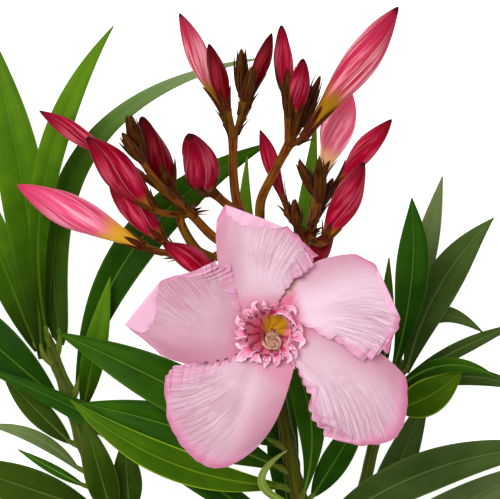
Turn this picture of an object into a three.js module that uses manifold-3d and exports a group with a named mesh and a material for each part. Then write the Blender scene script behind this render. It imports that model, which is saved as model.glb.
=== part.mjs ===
// A cut flowering branch of oleander: one open bloom over a head of pointed buds, with whorls of
// narrow leaves on three shoots. It lies on a flat surface. Millimetres, +Z up. The origin is the
// centre of the flat cut across the main stem, and +Y runs along that stem towards the bloom.
import * as THREE from 'three';
import { mergeVertices } from 'three/addons/utils/BufferGeometryUtils.js';
import Module from 'manifold-3d';

const wasm = await Module();
wasm.setup();

// Driving dimensions.
const cutRadius = 2.5; // the main stem at its cut, where it touches the surface it lies on
const clearance = 0.35; // gap between a part and the one that carries it
const knifeSize = 12; // block that trims the stem to its flat cut
const stemSides = 8;
const stemStep = 5; // length of stem between two rings
const forkRadius = 0.9; // the thin stalk under one bud
const bladeThickness = 0.55; // half the depth of a blade at its midrib
const edgeThickness = 0.12; // half the depth of a blade at its edge
const bladeFold = 14; // degrees that each half of a blade rises from the midrib
const bladeRings = 9;
const usualBelly = 0.45; // where a blade is widest, as a share of its length
const budSides = 7;
const budRings = 6;
const smallBud = 14; // a bud shorter than this is fused to its branch
const sepals = 5;
const calyxSkin = 0.3; // how far the calyx stands out from what it holds
const petalThickness = 0.8;
const petalSteps = 8;
const throatRadius = 6.4;
const tubeLength = 19;
const tubeRadius = 2.2; // the foot of the bloom's tube
const wall = 0.7; // wall of the bloom's tube
const bloomCentre = [-7.4, 85.5, 56]; // the mouth of the throat

// Places are [x, y, height above the surface].
const stems = {
  main_stem: {
    route: [[0, -3, 2.5], [0, 10, 2.5], [0, 24, 4.5], [0, 36, 8.5], [0, 46, 13]],
    radii: [cutRadius, 2],
  },
  left_shoot: {
    route: [
      [-3.1, 20.4, 4.2], [-5, 21, 4.5], [-10, 26.5, 5], [-30, 36, 5], [-41, 47, 6], [-46, 59, 7], [-50, 72, 8],
      [-55, 84, 9],
    ],
    radii: [1.9, 1.3],
  },
  right_shoot: {
    route: [
      [3, 21.2, 4.4], [4.6, 22.2, 4.9], [7.5, 29, 6.5], [11, 42, 9], [13.5, 53, 11.5], [15.5, 62, 13.5], [18.5, 71.5, 16],
      [20.5, 79, 18],
    ],
    radii: [1.6, 1.1],
  },
  flower_stalk: {
    route: [
      [0, 46.9, 13.4], [-2, 56, 17], [-3.5, 64.5, 20], [-6, 77, 22], [-8.5, 90, 25], [-10.5, 106, 31.5],
    ],
    radii: [1.6, 1.2],
  },
};

// Branches of the flower head: each has one or more limbs, and each limb ends in a fork.
const branches = {
  branch_top_left: {
    top_left: [[-11.6, 108.2, 32.6], [-13.5, 111.5, 33], [-14.4, 117.5, 34], [-14.5, 125, 36]],
    middle: [[-12.8, 110, 32.8], [-15, 111, 35], [-18, 113.5, 37.5]],
  },
  branch_top: {
    top: [[-9, 108.2, 33], [-8.7, 112.5, 36.5], [-6.1, 118, 39.5], [-3.2, 123.5, 41]],
  },
  branch_left: {
    left: [[-13, 102.2, 30], [-18, 104.5, 31.5], [-23.5, 110, 35]],
    low_left: [[-15, 103, 30.5], [-19, 100.5, 31], [-25, 101, 33]],
    cross_left: [[-19, 100.6, 31], [-22, 102.3, 32], [-25.3, 109, 35], [-23.5, 110, 35]],
  },
  branch_right: {
    right: [[-7.2, 100, 29.2], [-4, 102.5, 31], [1, 105.5, 33]],
  },
};

// Buds: foot is where the calyx sits on its stalk, heading is the way it points in plan from +X,
// belly is where it is widest, as a share of its length, and calyx is how far its sepals reach.
const buds = {
  bud_1: {
    on: 'top_left', foot: [-16.5, 130.5, 36], heading: 114, lift: 13, length: 22.5, width: 4.6,
    belly: 0.58, calyx: 7,
  },
  bud_2: {
    on: 'top_left', foot: [-15.6, 131, 41.5], heading: 106, lift: 12, length: 13.9, width: 3.8,
    belly: 0.5, calyx: 5,
  },
  bud_3: {
    on: 'top_left', foot: [-11, 133.5, 38.5], heading: 71, lift: 10, length: 13.9, width: 3.4,
    belly: 0.55, calyx: 6.5,
  },
  bud_4: {
    on: 'top', foot: [0.2, 125.5, 42], heading: 54, lift: 11, length: 32.5, width: 7, belly: 0.6,
    calyx: 9,
  },
  bud_5: {
    on: 'top', foot: [-3.7, 134.5, 39.5], heading: 94, lift: 15, length: 13.9, width: 4, belly: 0.42,
    calyx: 5.5,
  },
  bud_6: {
    on: 'top', foot: [-1.5, 129.5, 44.5], heading: 84, lift: 34, length: 13.5, width: 4.4, belly: 0.5,
    calyx: 4.5,
  },
  bud_7: {
    on: 'middle', foot: [-19.8, 114.5, 39], heading: 108, lift: 46, length: 16.5, width: 7.2,
    belly: 0.42, calyx: 5,
  },
  bud_8: {
    on: 'left', foot: [-27.6, 115.5, 35], heading: 112, lift: 14, length: 15.5, width: 5.5,
    belly: 0.38, calyx: 5.5,
  },
  bud_9: {
    on: 'left', foot: [-36.2, 119.5, 33], heading: 148, lift: 5, length: 21.5, width: 3.8, belly: 0.62,
    calyx: 6.5,
  },
  bud_10: {
    on: 'left', foot: [-31, 111, 39.5], heading: 133, lift: 16, length: 20, width: 7, belly: 0.52,
    calyx: 4,
  },
  bud_11: {
    on: 'low_left', foot: [-33.5, 103.2, 31], heading: 154, lift: 9, length: 28.5, width: 7,
    belly: 0.56, calyx: 4.5,
  },
  bud_12: {
    on: 'low_left', foot: [-29, 104.5, 35.5], heading: 134, lift: 6, length: 15.5, width: 5.6,
    belly: 0.5, calyx: 4.5,
  },
  bud_13: {
    on: 'low_left', foot: [-17, 97, 39], heading: 151, lift: 8, length: 13.5, width: 5, belly: 0.5,
    calyx: 4,
  },
  bud_14: {
    on: 'right', foot: [-3.2, 110.2, 34.5], heading: 109, lift: 7, length: 17.8, width: 3.4,
    belly: 0.64, calyx: 7,
  },
  bud_15: {
    on: 'right', foot: [4, 118, 27], heading: 71, lift: 14, length: 18.5, width: 7, belly: 0.58,
    calyx: 4,
  },
  bud_16: {
    on: 'right', foot: [6.7, 115.5, 35], heading: 50, lift: 13, length: 18, width: 4.6, belly: 0.56,
    calyx: 5.5,
  },
  bud_17: {
    on: 'right', foot: [4.5, 104.5, 41], heading: 64, lift: 17, length: 18, width: 5.9, belly: 0.5,
    calyx: 4.5,
  },
  bud_18: {
    on: 'right', foot: [-0.5, 97.5, 33], heading: 52, lift: 12, length: 11, width: 4.6, belly: 0.5,
    calyx: 4,
  },
};

// Tight brown buds, still closed in their sepals.
const closedBuds = [
  { on: 'top_left', foot: [-12.6, 134, 40.5], heading: 91, lift: 16, length: 9.5, width: 2.6 },
  { on: 'top_left', foot: [-12, 133, 43.5], heading: 76, lift: 24, length: 7.4, width: 2.2 },
  { on: 'top', foot: [-3.2, 129.5, 46], heading: 90, lift: 20, length: 9, width: 2.2 },
  { on: 'top', foot: [-0.4, 128, 40], heading: 69, lift: 14, length: 10.7, width: 2.2 },
  { on: 'left', foot: [-33.4, 121.5, 42], heading: 104, lift: 25, length: 9, width: 2.8 },
  { on: 'left', foot: [-33.1, 120.5, 44], heading: 125, lift: 23, length: 7.2, width: 2.4 },
  { on: 'right', foot: [2.7, 113.3, 38], heading: 118, lift: 20, length: 8.6, width: 2.4 },
  { on: 'right', foot: [3.2, 112.5, 40], heading: 91, lift: 25, length: 9.3, width: 2.6 },
  { on: 'right', foot: [3.6, 111.4, 37], heading: 67, lift: 20, length: 6.4, width: 2 },
  { on: 'right', foot: [-1.4, 107.1, 39], heading: 97, lift: 20, length: 5.8, width: 2.4 },
];
const closedShape = { belly: 0.4, calyx: 4 };

// Leaves: along and around place the root on its shoot, around turning from straight up towards
// the shoot's left. bow and arch carry the middle of the blade to the left of its run and upwards,
// and belly is where the blade is widest.
const leaves = {
  leaf_left_1: {
    on: 'left_shoot', along: 0.95, around: 55, tip: [-68, 152, 12], bow: -2.5, arch: 2, width: 9.6,
    belly: 0.5,
  },
  leaf_left_2: {
    on: 'left_shoot', along: 0.99, around: -15, tip: [-39.5, 149, 24], bow: 7.2, arch: 5, width: 5.4,
    belly: 0.6,
  },
  leaf_left_3: {
    on: 'left_shoot', along: 0.97, around: 110, tip: [-74, 126, 4], bow: 0, arch: 4, width: 7.6,
  },
  leaf_left_4: {
    on: 'left_shoot', along: 0.96, around: -80, tip: [-8, 142.8, 16], bow: 19.2, arch: 2, width: 5.6,
    belly: 0.25,
  },
  leaf_left_5: {
    on: 'left_shoot', along: 0.85, around: -60, tip: [-6.5, 125, 12], bow: 9, arch: 4, width: 8.4,
    belly: 0.52,
  },
  leaf_left_6: {
    on: 'left_shoot', along: 0.8, around: -50, tip: [-40.5, 96.5, 17], bow: 0, arch: 2, width: 4.8,
  },
  leaf_left_7: {
    on: 'left_shoot', along: 0.85, around: 80, tip: [-84, 98, 0.2], bow: 0, arch: 4, width: 9.8,
  },
  leaf_left_8: { on: 'left_shoot', along: 0.73, around: 60, tip: [-64, 75, 2], bow: 0, arch: 2, width: 5 },
  leaf_left_9: {
    on: 'left_shoot', along: 0.66, around: 100, tip: [-68, 64.5, 2], bow: -2.4, arch: 2, width: 2.8,
  },
  leaf_left_10: {
    on: 'left_shoot', along: 0.56, around: 80, tip: [-76, 57, 0.2], bow: 0, arch: 3, width: 8.6,
  },
  leaf_left_11: {
    on: 'left_shoot', along: 0.62, around: 70, tip: [-60.5, 59.5, 7], bow: 0, arch: 1, width: 1.9,
  },
  leaf_left_12: { on: 'left_shoot', along: 0.52, around: 10, tip: [-46, 67, 15], bow: 0, arch: 2, width: 7 },
  leaf_left_13: {
    on: 'left_shoot', along: 0.5, around: -60, tip: [-37.8, 62.5, 10], bow: 0, arch: 1, width: 6,
  },
  leaf_right_1: {
    on: 'right_shoot', along: 0.97, around: 20, tip: [22.6, 113, 28], bow: -1.7, arch: 2, width: 6.8,
    belly: 0.6,
  },
  leaf_right_2: {
    on: 'right_shoot', along: 0.97, around: -50, tip: [41, 109, 8], bow: 3, arch: 3, width: 7.6,
    belly: 0.5,
  },
  leaf_right_3: {
    on: 'right_shoot', along: 0.97, around: 180, tip: [30.5, 118, 0.2], bow: 0, arch: 1, width: 5,
    belly: 0.55,
  },
  leaf_right_4: {
    on: 'right_shoot', along: 0.99, around: -110, tip: [38.5, 84.7, 10], bow: 7.5, arch: 2, width: 3.6,
  },
  leaf_right_5: {
    on: 'right_shoot', along: 0.92, around: -135, tip: [47, 86.5, 4.6], bow: 1, arch: 2, width: 3,
  },
  leaf_right_6: {
    on: 'right_shoot', along: 0.9, around: -120, tip: [48, 72, 6], bow: 3, arch: 4, width: 3.4,
  },
  leaf_right_7: {
    on: 'right_shoot', along: 0.93, around: -45, tip: [40.5, 75.5, 23], bow: 3.4, arch: 2, width: 3,
  },
  leaf_right_8: {
    on: 'right_shoot', along: 0.3, around: -60, tip: [27.5, 73, 8], bow: 0, arch: 2, width: 7,
  },
  leaf_right_9: {
    on: 'right_shoot', along: 0.32, around: -110, tip: [56, 58, 0.2], bow: 0, arch: 3, width: 7.2,
  },
  leaf_right_10: {
    on: 'right_shoot', along: 0.84, around: -65, tip: [33.5, 77, 20], bow: -1, arch: 2, width: 7.4,
  },
  leaf_right_11: {
    on: 'right_shoot', along: 0.95, around: 90, tip: [18.5, 100.5, 12], bow: 0, arch: 1, width: 2.8,
  },
  leaf_front_1: {
    on: 'flower_stalk', along: 0.27, around: 60, tip: [-51.5, 85, 22], bow: -1, arch: 6, width: 10,
  },
  leaf_front_2: {
    on: 'flower_stalk', along: 0.18, around: 75, tip: [-46.7, 70, 19], bow: -1.5, arch: 4, width: 9,
    belly: 0.5,
  },
  leaf_front_3: {
    on: 'flower_stalk', along: 0.11, around: 80, tip: [-48.5, 71, 25], bow: 4, arch: 4, width: 6.6,
    belly: 0.5,
  },
  leaf_front_4: {
    on: 'main_stem', along: 0.86, around: 120, tip: [-41, 62.5, 4], bow: -1.5, arch: 0, width: 5.4,
  },
  leaf_front_5: {
    on: 'main_stem', along: 0.92, around: -60, tip: [55.3, 60.7, 18], bow: 5.4, arch: 6, width: 8.4,
  },
  leaf_under_1: {
    on: 'flower_stalk', along: 0.08, around: -20, tip: [-4, 82.5, 28], bow: -3.6, arch: 1, width: 6.2,
    belly: 0.6,
  },
  leaf_under_2: {
    on: 'flower_stalk', along: 0.05, around: -80, tip: [14.5, 71, 22], bow: 0, arch: 3, width: 5.6,
  },
  leaf_under_3: {
    on: 'main_stem', along: 0.9, around: 90, tip: [-70.5, 78.5, 13], bow: -2.5, arch: 1.5, width: 5.6,
  },
  leaf_under_4: {
    on: 'main_stem', along: 0.95, around: 130, tip: [-3.6, 82, 12], bow: 1, arch: 0, width: 6.4,
  },
  leaf_back_1: {
    on: 'flower_stalk', along: 0.5, around: 150, tip: [-11.6, 122, 16], bow: 2, arch: 1, width: 4.6,
  },
  leaf_back_2: {
    on: 'flower_stalk', along: 0.45, around: -100, tip: [3, 130, 12], bow: 0, arch: 1, width: 5,
  },
  young_leaf: {
    on: 'flower_stalk', along: 0.05, around: 30, tip: [-3.3, 60.5, 27], bow: 6, arch: 1, width: 1.5,
  },
};

// Lobes of the bloom, going round. left and right are the half-widths on the smooth and on the
// frilled side, and rim is how far the edge reaches from the throat, from the right side to the
// left.
const petals = [
  { heading: 92, left: 10.2, right: 10.8, rim: [17.5, 20.7, 23.3, 25, 21.5], lift: 1.4 },
  { heading: 168, left: 9.2, right: 11.5, rim: [15, 22.8, 26, 27.2, 18.5], lift: 0.6 },
  { heading: 239, left: 10.4, right: 13.8, rim: [18.5, 26.6, 29, 28.6, 19], lift: 0 },
  { heading: 322, left: 10.3, right: 8.7, rim: [22.5, 31, 32.6, 31, 24.5], lift: -0.6 },
  { heading: 375, left: 11.2, right: 10.1, rim: [22, 25.5, 25.4, 24, 18.5], lift: 1 },
];

const radians = THREE.MathUtils.degToRad;
const upright = new THREE.Vector3(0, 0, 1);

const at = ([x, y, height]) => new THREE.Vector3(x, y, height - cutRadius);

// Drops everything but the corners and merges them, so that the surface is one closed body.
function weld(geometry) {
  geometry.deleteAttribute('normal');
  geometry.deleteAttribute('uv');
  return mergeVertices(geometry, 1e-5);
}

// Moves each corner of a closed shape to the point that place gives for it.
function reshape(geometry, place) {
  const shape = weld(geometry);
  const corners = shape.attributes.position;
  for (let i = 0; i < corners.count; i += 1) {
    const corner = new THREE.Vector3().fromBufferAttribute(corners, i);
    corners.setXYZ(i, ...place(corner));
  }
  return shape;
}

function solid(geometry) {
  const { position } = geometry.attributes;
  return new wasm.Manifold(new wasm.Mesh({
    numProp: 3,
    vertProperties: new Float32Array(position.array),
    triVerts: new Uint32Array(geometry.index.array),
  }));
}

function geometryOf(body) {
  const mesh = body.getMesh();
  const geometry = new THREE.BufferGeometry();
  geometry.setAttribute('position', new THREE.BufferAttribute(mesh.vertProperties, 3));
  geometry.setIndex(new THREE.BufferAttribute(mesh.triVerts, 1));
  return geometry;
}

const join = (geometries) => geometryOf(geometries.map(solid).reduce((whole, next) => whole.add(next)));

// A round stem along a curve: the wall of a cylinder is carried along it, ring by ring.
function tube(curve, radii, sides) {
  const rings = Math.max(2, Math.round(curve.getLength() / stemStep));
  const { normals, binormals } = curve.computeFrenetFrames(rings);
  return reshape(new THREE.CylinderGeometry(1, 1, 1, sides, rings), ({ x, y, z }) => {
    const ring = Math.round((y + 0.5) * rings);
    const radius = THREE.MathUtils.lerp(radii[0], radii[1], ring / rings);
    return curve.getPointAt(ring / rings)
      .addScaledVector(normals[ring], x * radius)
      .addScaledVector(binormals[ring], -z * radius);
  });
}

const curveOf = (route) => new THREE.CatmullRomCurve3(route.map(at));

// The stem's foot is trimmed by a block, which leaves the flat cut in the plane y = 0.
function mainStem({ route, radii }) {
  const knife = new THREE.BoxGeometry(knifeSize, knifeSize, knifeSize).translate(0, -knifeSize / 2, 0);
  const stem = solid(tube(curveOf(route), radii, stemSides));
  return geometryOf(stem.subtract(solid(weld(knife))));
}

// The direction that leaves a shoot at an angle round it, from straight up towards its left.
function outward(curve, along, around) {
  const run = curve.getTangentAt(along);
  const left = new THREE.Vector3(0, 0, 1).cross(run).normalize();
  const up = new THREE.Vector3().crossVectors(run, left);
  return up.multiplyScalar(Math.cos(around)).addScaledVector(left, Math.sin(around));
}

// The midrib of a leaf: one bent curve from its root at the side of its shoot to its tip.
function midrib({ on, along, around, tip, bow, arch }) {
  const { route, radii } = stems[on];
  const shoot = curveOf(route);
  const side = outward(shoot, along, radians(around));
  const reach = THREE.MathUtils.lerp(radii[0], radii[1], along) + 2 * bladeThickness + clearance;
  const root = shoot.getPointAt(along).addScaledVector(side, reach);
  const end = at(tip);
  const run = end.clone().sub(root);
  const left = new THREE.Vector3(-run.y, run.x, 0).normalize();
  const middle = root.clone().lerp(end, 0.5).addScaledVector(left, 2 * bow);
  middle.z += 2 * arch;
  return new THREE.QuadraticBezierCurve3(root, middle, end);
}

// Half-width of a blade, as a share of its widest: a narrow stalk, then a long lance.
function bladeWidth(t, belly) {
  const stretch = Math.log(0.5) / Math.log(belly);
  return 0.12 * (1 - t) + 0.97 * Math.sin(Math.PI * t ** stretch) ** 1.05;
}

// A blade: the wall of a cylinder pressed flat, folded up along its midrib and carried along it.
function blade(leaf) {
  const spine = midrib(leaf);
  const fold = radians(bladeFold);
  return reshape(new THREE.CylinderGeometry(1, 1, 1, 8, bladeRings), ({ x, y, z }) => {
    const t = y + 0.5;
    const run = spine.getTangentAt(t);
    const side = new THREE.Vector3(run.y, -run.x, 0).normalize();
    const up = new THREE.Vector3().crossVectors(side, run);
    const half = 0.15 + bladeWidth(t, leaf.belly ?? usualBelly) * leaf.width / 2;
    const depth = THREE.MathUtils.lerp(bladeThickness, edgeThickness, Math.abs(x)) * (1 - 0.3 * t);
    return spine.getPointAt(t)
      .addScaledVector(side, x * half * Math.cos(fold))
      .addScaledVector(up, Math.abs(x) * half * Math.sin(fold) + z * depth);
  });
}

// The way a bud points.
function direction(heading, lift) {
  const flat = Math.cos(radians(lift));
  return new THREE.Vector3(
    flat * Math.cos(radians(heading)),
    flat * Math.sin(radians(heading)),
    Math.sin(radians(lift)),
  );
}

// Radius of a bud, as a share of its widest: it swells to its belly and draws out to its tip, and the
// further out the belly, the narrower the neck.
const budRadius = (t, belly) => (
  Math.sin(Math.PI * (0.1 + 0.88 * t ** (Math.log(0.4545) / Math.log(belly)))) ** (2 * belly)
);

// A pointed bud standing on +Z from its foot at the origin.
function spindle({ length, width, belly }, sides, rings) {
  return reshape(new THREE.CylinderGeometry(1, 1, 1, sides, rings), ({ x, y, z }) => {
    const t = y + 0.5;
    const radius = budRadius(t, belly) * width / 2;
    return new THREE.Vector3(z * radius, x * radius, t * length);
  });
}

// A calyx: a cup that clings to what it holds and whose rim rises to five points. radiusAt gives
// the radius of what it holds at a height above its foot.
function calyx(radiusAt, height) {
  return reshape(new THREE.CylinderGeometry(1, 1, 1, 2 * sepals, 2), ({ x, y, z }) => {
    const onPoint = Math.hypot(x, z) > 0.5 && Math.cos(sepals * Math.atan2(x, z)) > 0;
    const level = (y + 0.5) * height * (onPoint ? 1 : 0.45);
    const skin = y > 0.4 ? 0.4 * calyxSkin : calyxSkin;
    const radius = radiusAt(level) + skin;
    return new THREE.Vector3(z * radius, x * radius, level);
  });
}

const turned = (geometry, way) => geometry.applyQuaternion(
  new THREE.Quaternion().setFromUnitVectors(upright, way),
);

// A bud in its calyx. A small bud has fewer faces.
function bud(spec) {
  const { foot, heading, lift, length, width, belly } = spec;
  const [sides, rings] = length < smallBud ? [5, 4] : [budSides, budRings];
  const body = spindle(spec, sides, rings).translate(0, 0, 0.2);
  const cup = calyx((level) => budRadius(level / length, belly) * width / 2, spec.calyx);
  const { x, y, z } = at(foot);
  return turned(join([body, cup]), direction(heading, lift)).translate(x, y, z);
}

// The stalk that carries a bud, from the fork to just short of the bud's foot.
function budStalk(fork, { foot, heading, lift, length }) {
  const way = direction(heading, lift);
  const gap = length < smallBud ? -0.5 : clearance;
  const end = at(foot).addScaledVector(way, -gap);
  const bend = end.clone().addScaledVector(way, -0.4 * end.distanceTo(fork));
  return tube(new THREE.QuadraticBezierCurve3(fork, bend, end), [forkRadius, forkRadius], 5);
}

// One limb of a branch, with its buds' stalks and its small buds.
function limb(name, route) {
  const fork = at(route[route.length - 1]);
  const closed = closedBuds.map((spec) => ({ ...closedShape, ...spec }));
  const carried = [...Object.values(buds), ...closed].filter(({ on }) => on === name);
  return [
    tube(curveOf(route), [1.1, 0.95], stemSides),
    ...carried.map((spec) => budStalk(fork, spec)),
    ...carried.filter(({ length }) => length < smallBud).map(bud),
  ];
}

const branch = (limbs) => join(Object.entries(limbs).flatMap(([name, route]) => limb(name, route)));

// How far a petal reaches at v, from -1 on its right to 1 on its left: the smooth curve through
// the evenly spaced values of its rim.
function rimAt(rim, v) {
  const places = rim.map((_, i) => -1 + 2 * i / (rim.length - 1));
  return rim.reduce((sum, reach, i) => {
    const others = places.filter((_, j) => j !== i);
    return sum + reach * others.reduce((product, place) => product * (v - place) / (places[i] - place), 1);
  }, 0);
}

// Half-width of a petal along it, as a share of its widest: the smooth left side swells at once,
// and the frilled right side opens late.
function petalSpread(u, v) {
  const left = 0.6 + 0.4 * Math.sin(Math.PI * 0.5 * Math.min(1, 1.6 * u));
  const right = 0.4 + 0.6 * Math.sin(Math.PI * 0.5 * Math.min(1, 1.35 * u)) ** 2;
  return (v > 0 ? left : right) - 0.08 * u ** 6;
}

// A petal: a slab carried onto a fan that opens from the throat. Its left edge is smooth and lies
// low, and its right edge is frilled and lies over the next petal.
function petal({ heading, left, right, rim, lift }) {
  const inner = throatRadius - wall;
  return reshape(new THREE.BoxGeometry(1, 2, 1, petalSteps, petalSteps, 1), ({ x, y, z }) => {
    const u = x + 0.5;
    const v = y;
    const out = inner + u * (rimAt(rim, v) - inner);
    const across = v * (v > 0 ? left : right) * petalSpread(u, v);
    const frill = 0.7 * u * u * Math.max(0, -v) * Math.sin(14 * u);
    const height = 2.2 * u - 3.4 * u ** 3 - 1.3 * v * u + frill + lift * u + z * petalThickness;
    return new THREE.Vector3(out, across, height).applyAxisAngle(upright, radians(heading));
  });
}

// The funnel under the petals, closed at its foot and open at its mouth.
function bloomTube() {
  const profile = [
    [0, -tubeLength], [tubeRadius, -tubeLength], [tubeRadius + 0.3, -0.6 * tubeLength],
    [5, -0.3 * tubeLength], [throatRadius, 0.4], [throatRadius - wall, 0.4], [5 - wall, -0.3 * tubeLength],
    [tubeRadius + 0.3 - wall, -0.6 * tubeLength], [0, -0.7 * tubeLength],
  ];
  const lathe = new THREE.LatheGeometry(profile.map(([r, h]) => new THREE.Vector2(r, h)), 20);
  return weld(lathe.rotateX(Math.PI / 2));
}

function corolla() {
  const { x, y, z } = at(bloomCentre);
  const cup = calyx(() => tubeRadius, 6).translate(0, 0, -tubeLength - 0.5);
  return join([bloomTube(), cup, ...petals.map(petal)]).translate(x, y, z);
}

// The fringe: a ring round the mouth of the throat, torn into narrow points that lean out.
function throatFringe() {
  const points = 15;
  const foot = throatRadius - wall - clearance - 0.3;
  const profile = [[-0.6, -1.5], [0, -1.5], [0.2, 1.1], [0.2, 1.8], [-0.4, 1.8], [-0.4, 1.1], [-0.6, -1.5]];
  const ring = new THREE.LatheGeometry(profile.map(([r, h]) => new THREE.Vector2(foot + r, h)), 2 * points);
  const { x: cx, y: cy, z: cz } = at(bloomCentre);
  return reshape(ring, ({ x, y, z }) => {
    const angle = Math.atan2(z, x);
    const rise = y > 1.5 && Math.cos(points * angle) > 0 ? 1 : 0;
    const lean = 1 + 0.34 * rise;
    const level = y + rise * (1.2 + 0.5 * Math.cos(5 * angle));
    return new THREE.Vector3(cx + x * lean, cy - z * lean, cz + level);
  });
}

// The stamens' feathery tips, twisted into one cone on the axis of the tube.
function stamenCone() {
  const { x, y, z } = at(bloomCentre);
  return spindle({ length: 9, width: 3.2, belly: 0.45 }, 8, 6).translate(x, y, z - 0.6 * tubeLength);
}

// The bloom's stalk, up to just short of the calyx under its tube.
function bloomStalk() {
  const [x, y, height] = bloomCentre;
  const foot = height - tubeLength - 0.6 - clearance;
  const route = [[-9.4, 95.5, 29.2], [-9, 91, 31], [x, y + 1, foot - 3], [x, y, foot]];
  return tube(curveOf(route), [1.1, 1.3], stemSides);
}

const finishes = {
  stem: { color: 0x6b6a33, roughness: 0.6, metalness: 0 },
  stalk: { color: 0x7a4a2e, roughness: 0.6, metalness: 0 },
  leaf: { color: 0x2f6b23, roughness: 0.45, metalness: 0 },
  bud: { color: 0xc23350, roughness: 0.45, metalness: 0 },
  petal: { color: 0xf0a3c4, roughness: 0.55, metalness: 0 },
  fringe: { color: 0xd9447f, roughness: 0.55, metalness: 0 },
  stamen: { color: 0xf2c48e, roughness: 0.7, metalness: 0 },
};

const group = new THREE.Group();

function add(name, geometry, finish) {
  const mesh = new THREE.Mesh(geometry, new THREE.MeshStandardMaterial(finishes[finish]));
  mesh.name = name;
  group.add(mesh);
}

for (const [name, stem] of Object.entries(stems)) {
  const shape = name === 'main_stem' ? mainStem(stem) : tube(curveOf(stem.route), stem.radii, stemSides);
  add(name, shape, 'stem');
}
for (const [name, limbs] of Object.entries(branches)) {
  add(name, branch(limbs), 'stalk');
}
for (const [name, spec] of Object.entries(buds)) {
  if (spec.length >= smallBud) {
    add(name, bud(spec), 'bud');
  }
}
for (const [name, leaf] of Object.entries(leaves)) {
  add(name, blade(leaf), 'leaf');
}
add('bloom_stalk', bloomStalk(), 'stalk');
add('corolla', corolla(), 'petal');
add('throat_fringe', throatFringe(), 'fringe');
add('stamen_cone', stamenCone(), 'stamen');

export default group;
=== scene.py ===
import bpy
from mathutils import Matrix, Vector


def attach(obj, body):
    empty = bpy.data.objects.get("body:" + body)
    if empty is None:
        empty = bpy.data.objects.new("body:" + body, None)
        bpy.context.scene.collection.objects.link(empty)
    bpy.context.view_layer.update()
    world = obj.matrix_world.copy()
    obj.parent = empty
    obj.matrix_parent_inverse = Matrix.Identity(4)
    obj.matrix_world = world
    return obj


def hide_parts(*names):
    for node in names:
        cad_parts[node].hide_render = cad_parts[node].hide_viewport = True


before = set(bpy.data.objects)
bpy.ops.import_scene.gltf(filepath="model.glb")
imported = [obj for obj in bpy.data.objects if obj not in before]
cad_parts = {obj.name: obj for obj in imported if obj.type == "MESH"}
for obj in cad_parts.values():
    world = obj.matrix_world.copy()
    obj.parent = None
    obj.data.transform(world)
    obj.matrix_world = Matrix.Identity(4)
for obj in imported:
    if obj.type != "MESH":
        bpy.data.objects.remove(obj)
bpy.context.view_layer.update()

from types import SimpleNamespace as Named
import bpy
import numpy as np

# A cut flowering branch of oleander, lying on a pale surface. Places and sizes in the tables are
# millimetres, and a place is [x, y, height above the surface].
mm = 0.001
cutRadius = 2.5  # the stem's cut stands on the surface, so its centre is this high
print("frame:", len(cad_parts), "solids")


def listed(fields, rows):  # names the values of each row
    return [Named(**dict(zip(fields.split(), row))) for row in rows]


def table(fields, rows):  # the same for rows that have names of their own
    return dict(zip(rows, listed(fields, rows.values())))


def unit(vectors):
    return vectors / np.linalg.norm(vectors, axis=-1, keepdims=True)


def blend(low, high, values):  # an even S from 0 at low to 1 at high
    t = np.clip((values - low) / (high - low), 0, 1)
    return t * t * (3 - 2 * t)


def place(points):  # heights above the surface to heights in the frame
    return np.asarray(points, float) - [0, 0, cutRadius]


def shares(count):  # evenly spaced from 0 to 1
    return np.linspace(0, 1, count)


def circle(count):  # evenly spaced angles round a whole turn
    return np.linspace(0, 2 * np.pi, count, endpoint=False)


def triple(a, b, c):  # stretches three grids to one shape and joins them as coordinates
    return np.stack(np.broadcast_arrays(a, b, c), axis=-1)


def polar(radius, turn, level):
    return triple(radius * np.cos(turn), radius * np.sin(turn), level)


def atShares(path, spots):  # points at shares of a path's length
    length = np.concatenate([[0], np.cumsum(np.linalg.norm(np.diff(path, axis=0), axis=1))])
    return np.stack([np.interp(np.asarray(spots) * length[-1], length, axis) for axis in path.T], axis=-1)


def lengthOf(path):
    return np.linalg.norm(np.diff(path, axis=0), axis=1).sum()


# Centripetal Catmull-Rom: a cubic between each two points, whose slopes come from the square roots
# of the gaps beside them.
def splinePath(route, steps=60):
    points = place(route)
    points = np.vstack([2 * points[0] - points[1], points, 2 * points[-1] - points[-2]])
    t = np.linspace(0, 1, steps, endpoint=False)[:, None]
    runs = []
    for p0, p1, p2, p3 in zip(points, points[1:], points[2:], points[3:]):
        d0, d1, d2 = (np.sqrt(np.linalg.norm(b - a)) for a, b in ((p0, p1), (p1, p2), (p2, p3)))
        slope1 = d1 * ((p1 - p0) / d0 - (p2 - p0) / (d0 + d1) + (p2 - p1) / d1)
        slope2 = d1 * ((p2 - p1) / d1 - (p3 - p1) / (d1 + d2) + (p3 - p2) / d2)
        square, cube = t ** 2, t ** 3
        runs.append((2 * cube - 3 * square + 1) * p1 + (cube - 2 * square + t) * slope1
                    + (3 * square - 2 * cube) * p2 + (cube - square) * slope2)
    return np.vstack(runs + [points[-2:-1]])


# Quadratic curve from start to end, drawn towards middle.
def bendPath(start, middle, end, steps=160):
    t = shares(steps)[:, None]
    return (1 - t) ** 2 * start + 2 * t * (1 - t) * middle + t ** 2 * end


def pointing(heading, lift):
    heading, lift = np.radians(heading), np.radians(lift)
    return np.array([np.cos(lift) * np.cos(heading), np.cos(lift) * np.sin(heading), np.sin(lift)])


def smoothNoise(values, waves, seed):  # a sum of sines with seeded lengths and phases, about -1 to 1
    draw = np.random.default_rng(seed)
    total = 0
    for wave in waves:
        total = total + np.sin(wave * draw.uniform(0.85, 1.15) * values + draw.uniform(0, 6.28))
    return total / len(waves)


def gridOf(rings):  # the numbers of the points in a grid, row by row
    return np.arange(rings[..., 0].size).reshape(rings.shape[:2])


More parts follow.
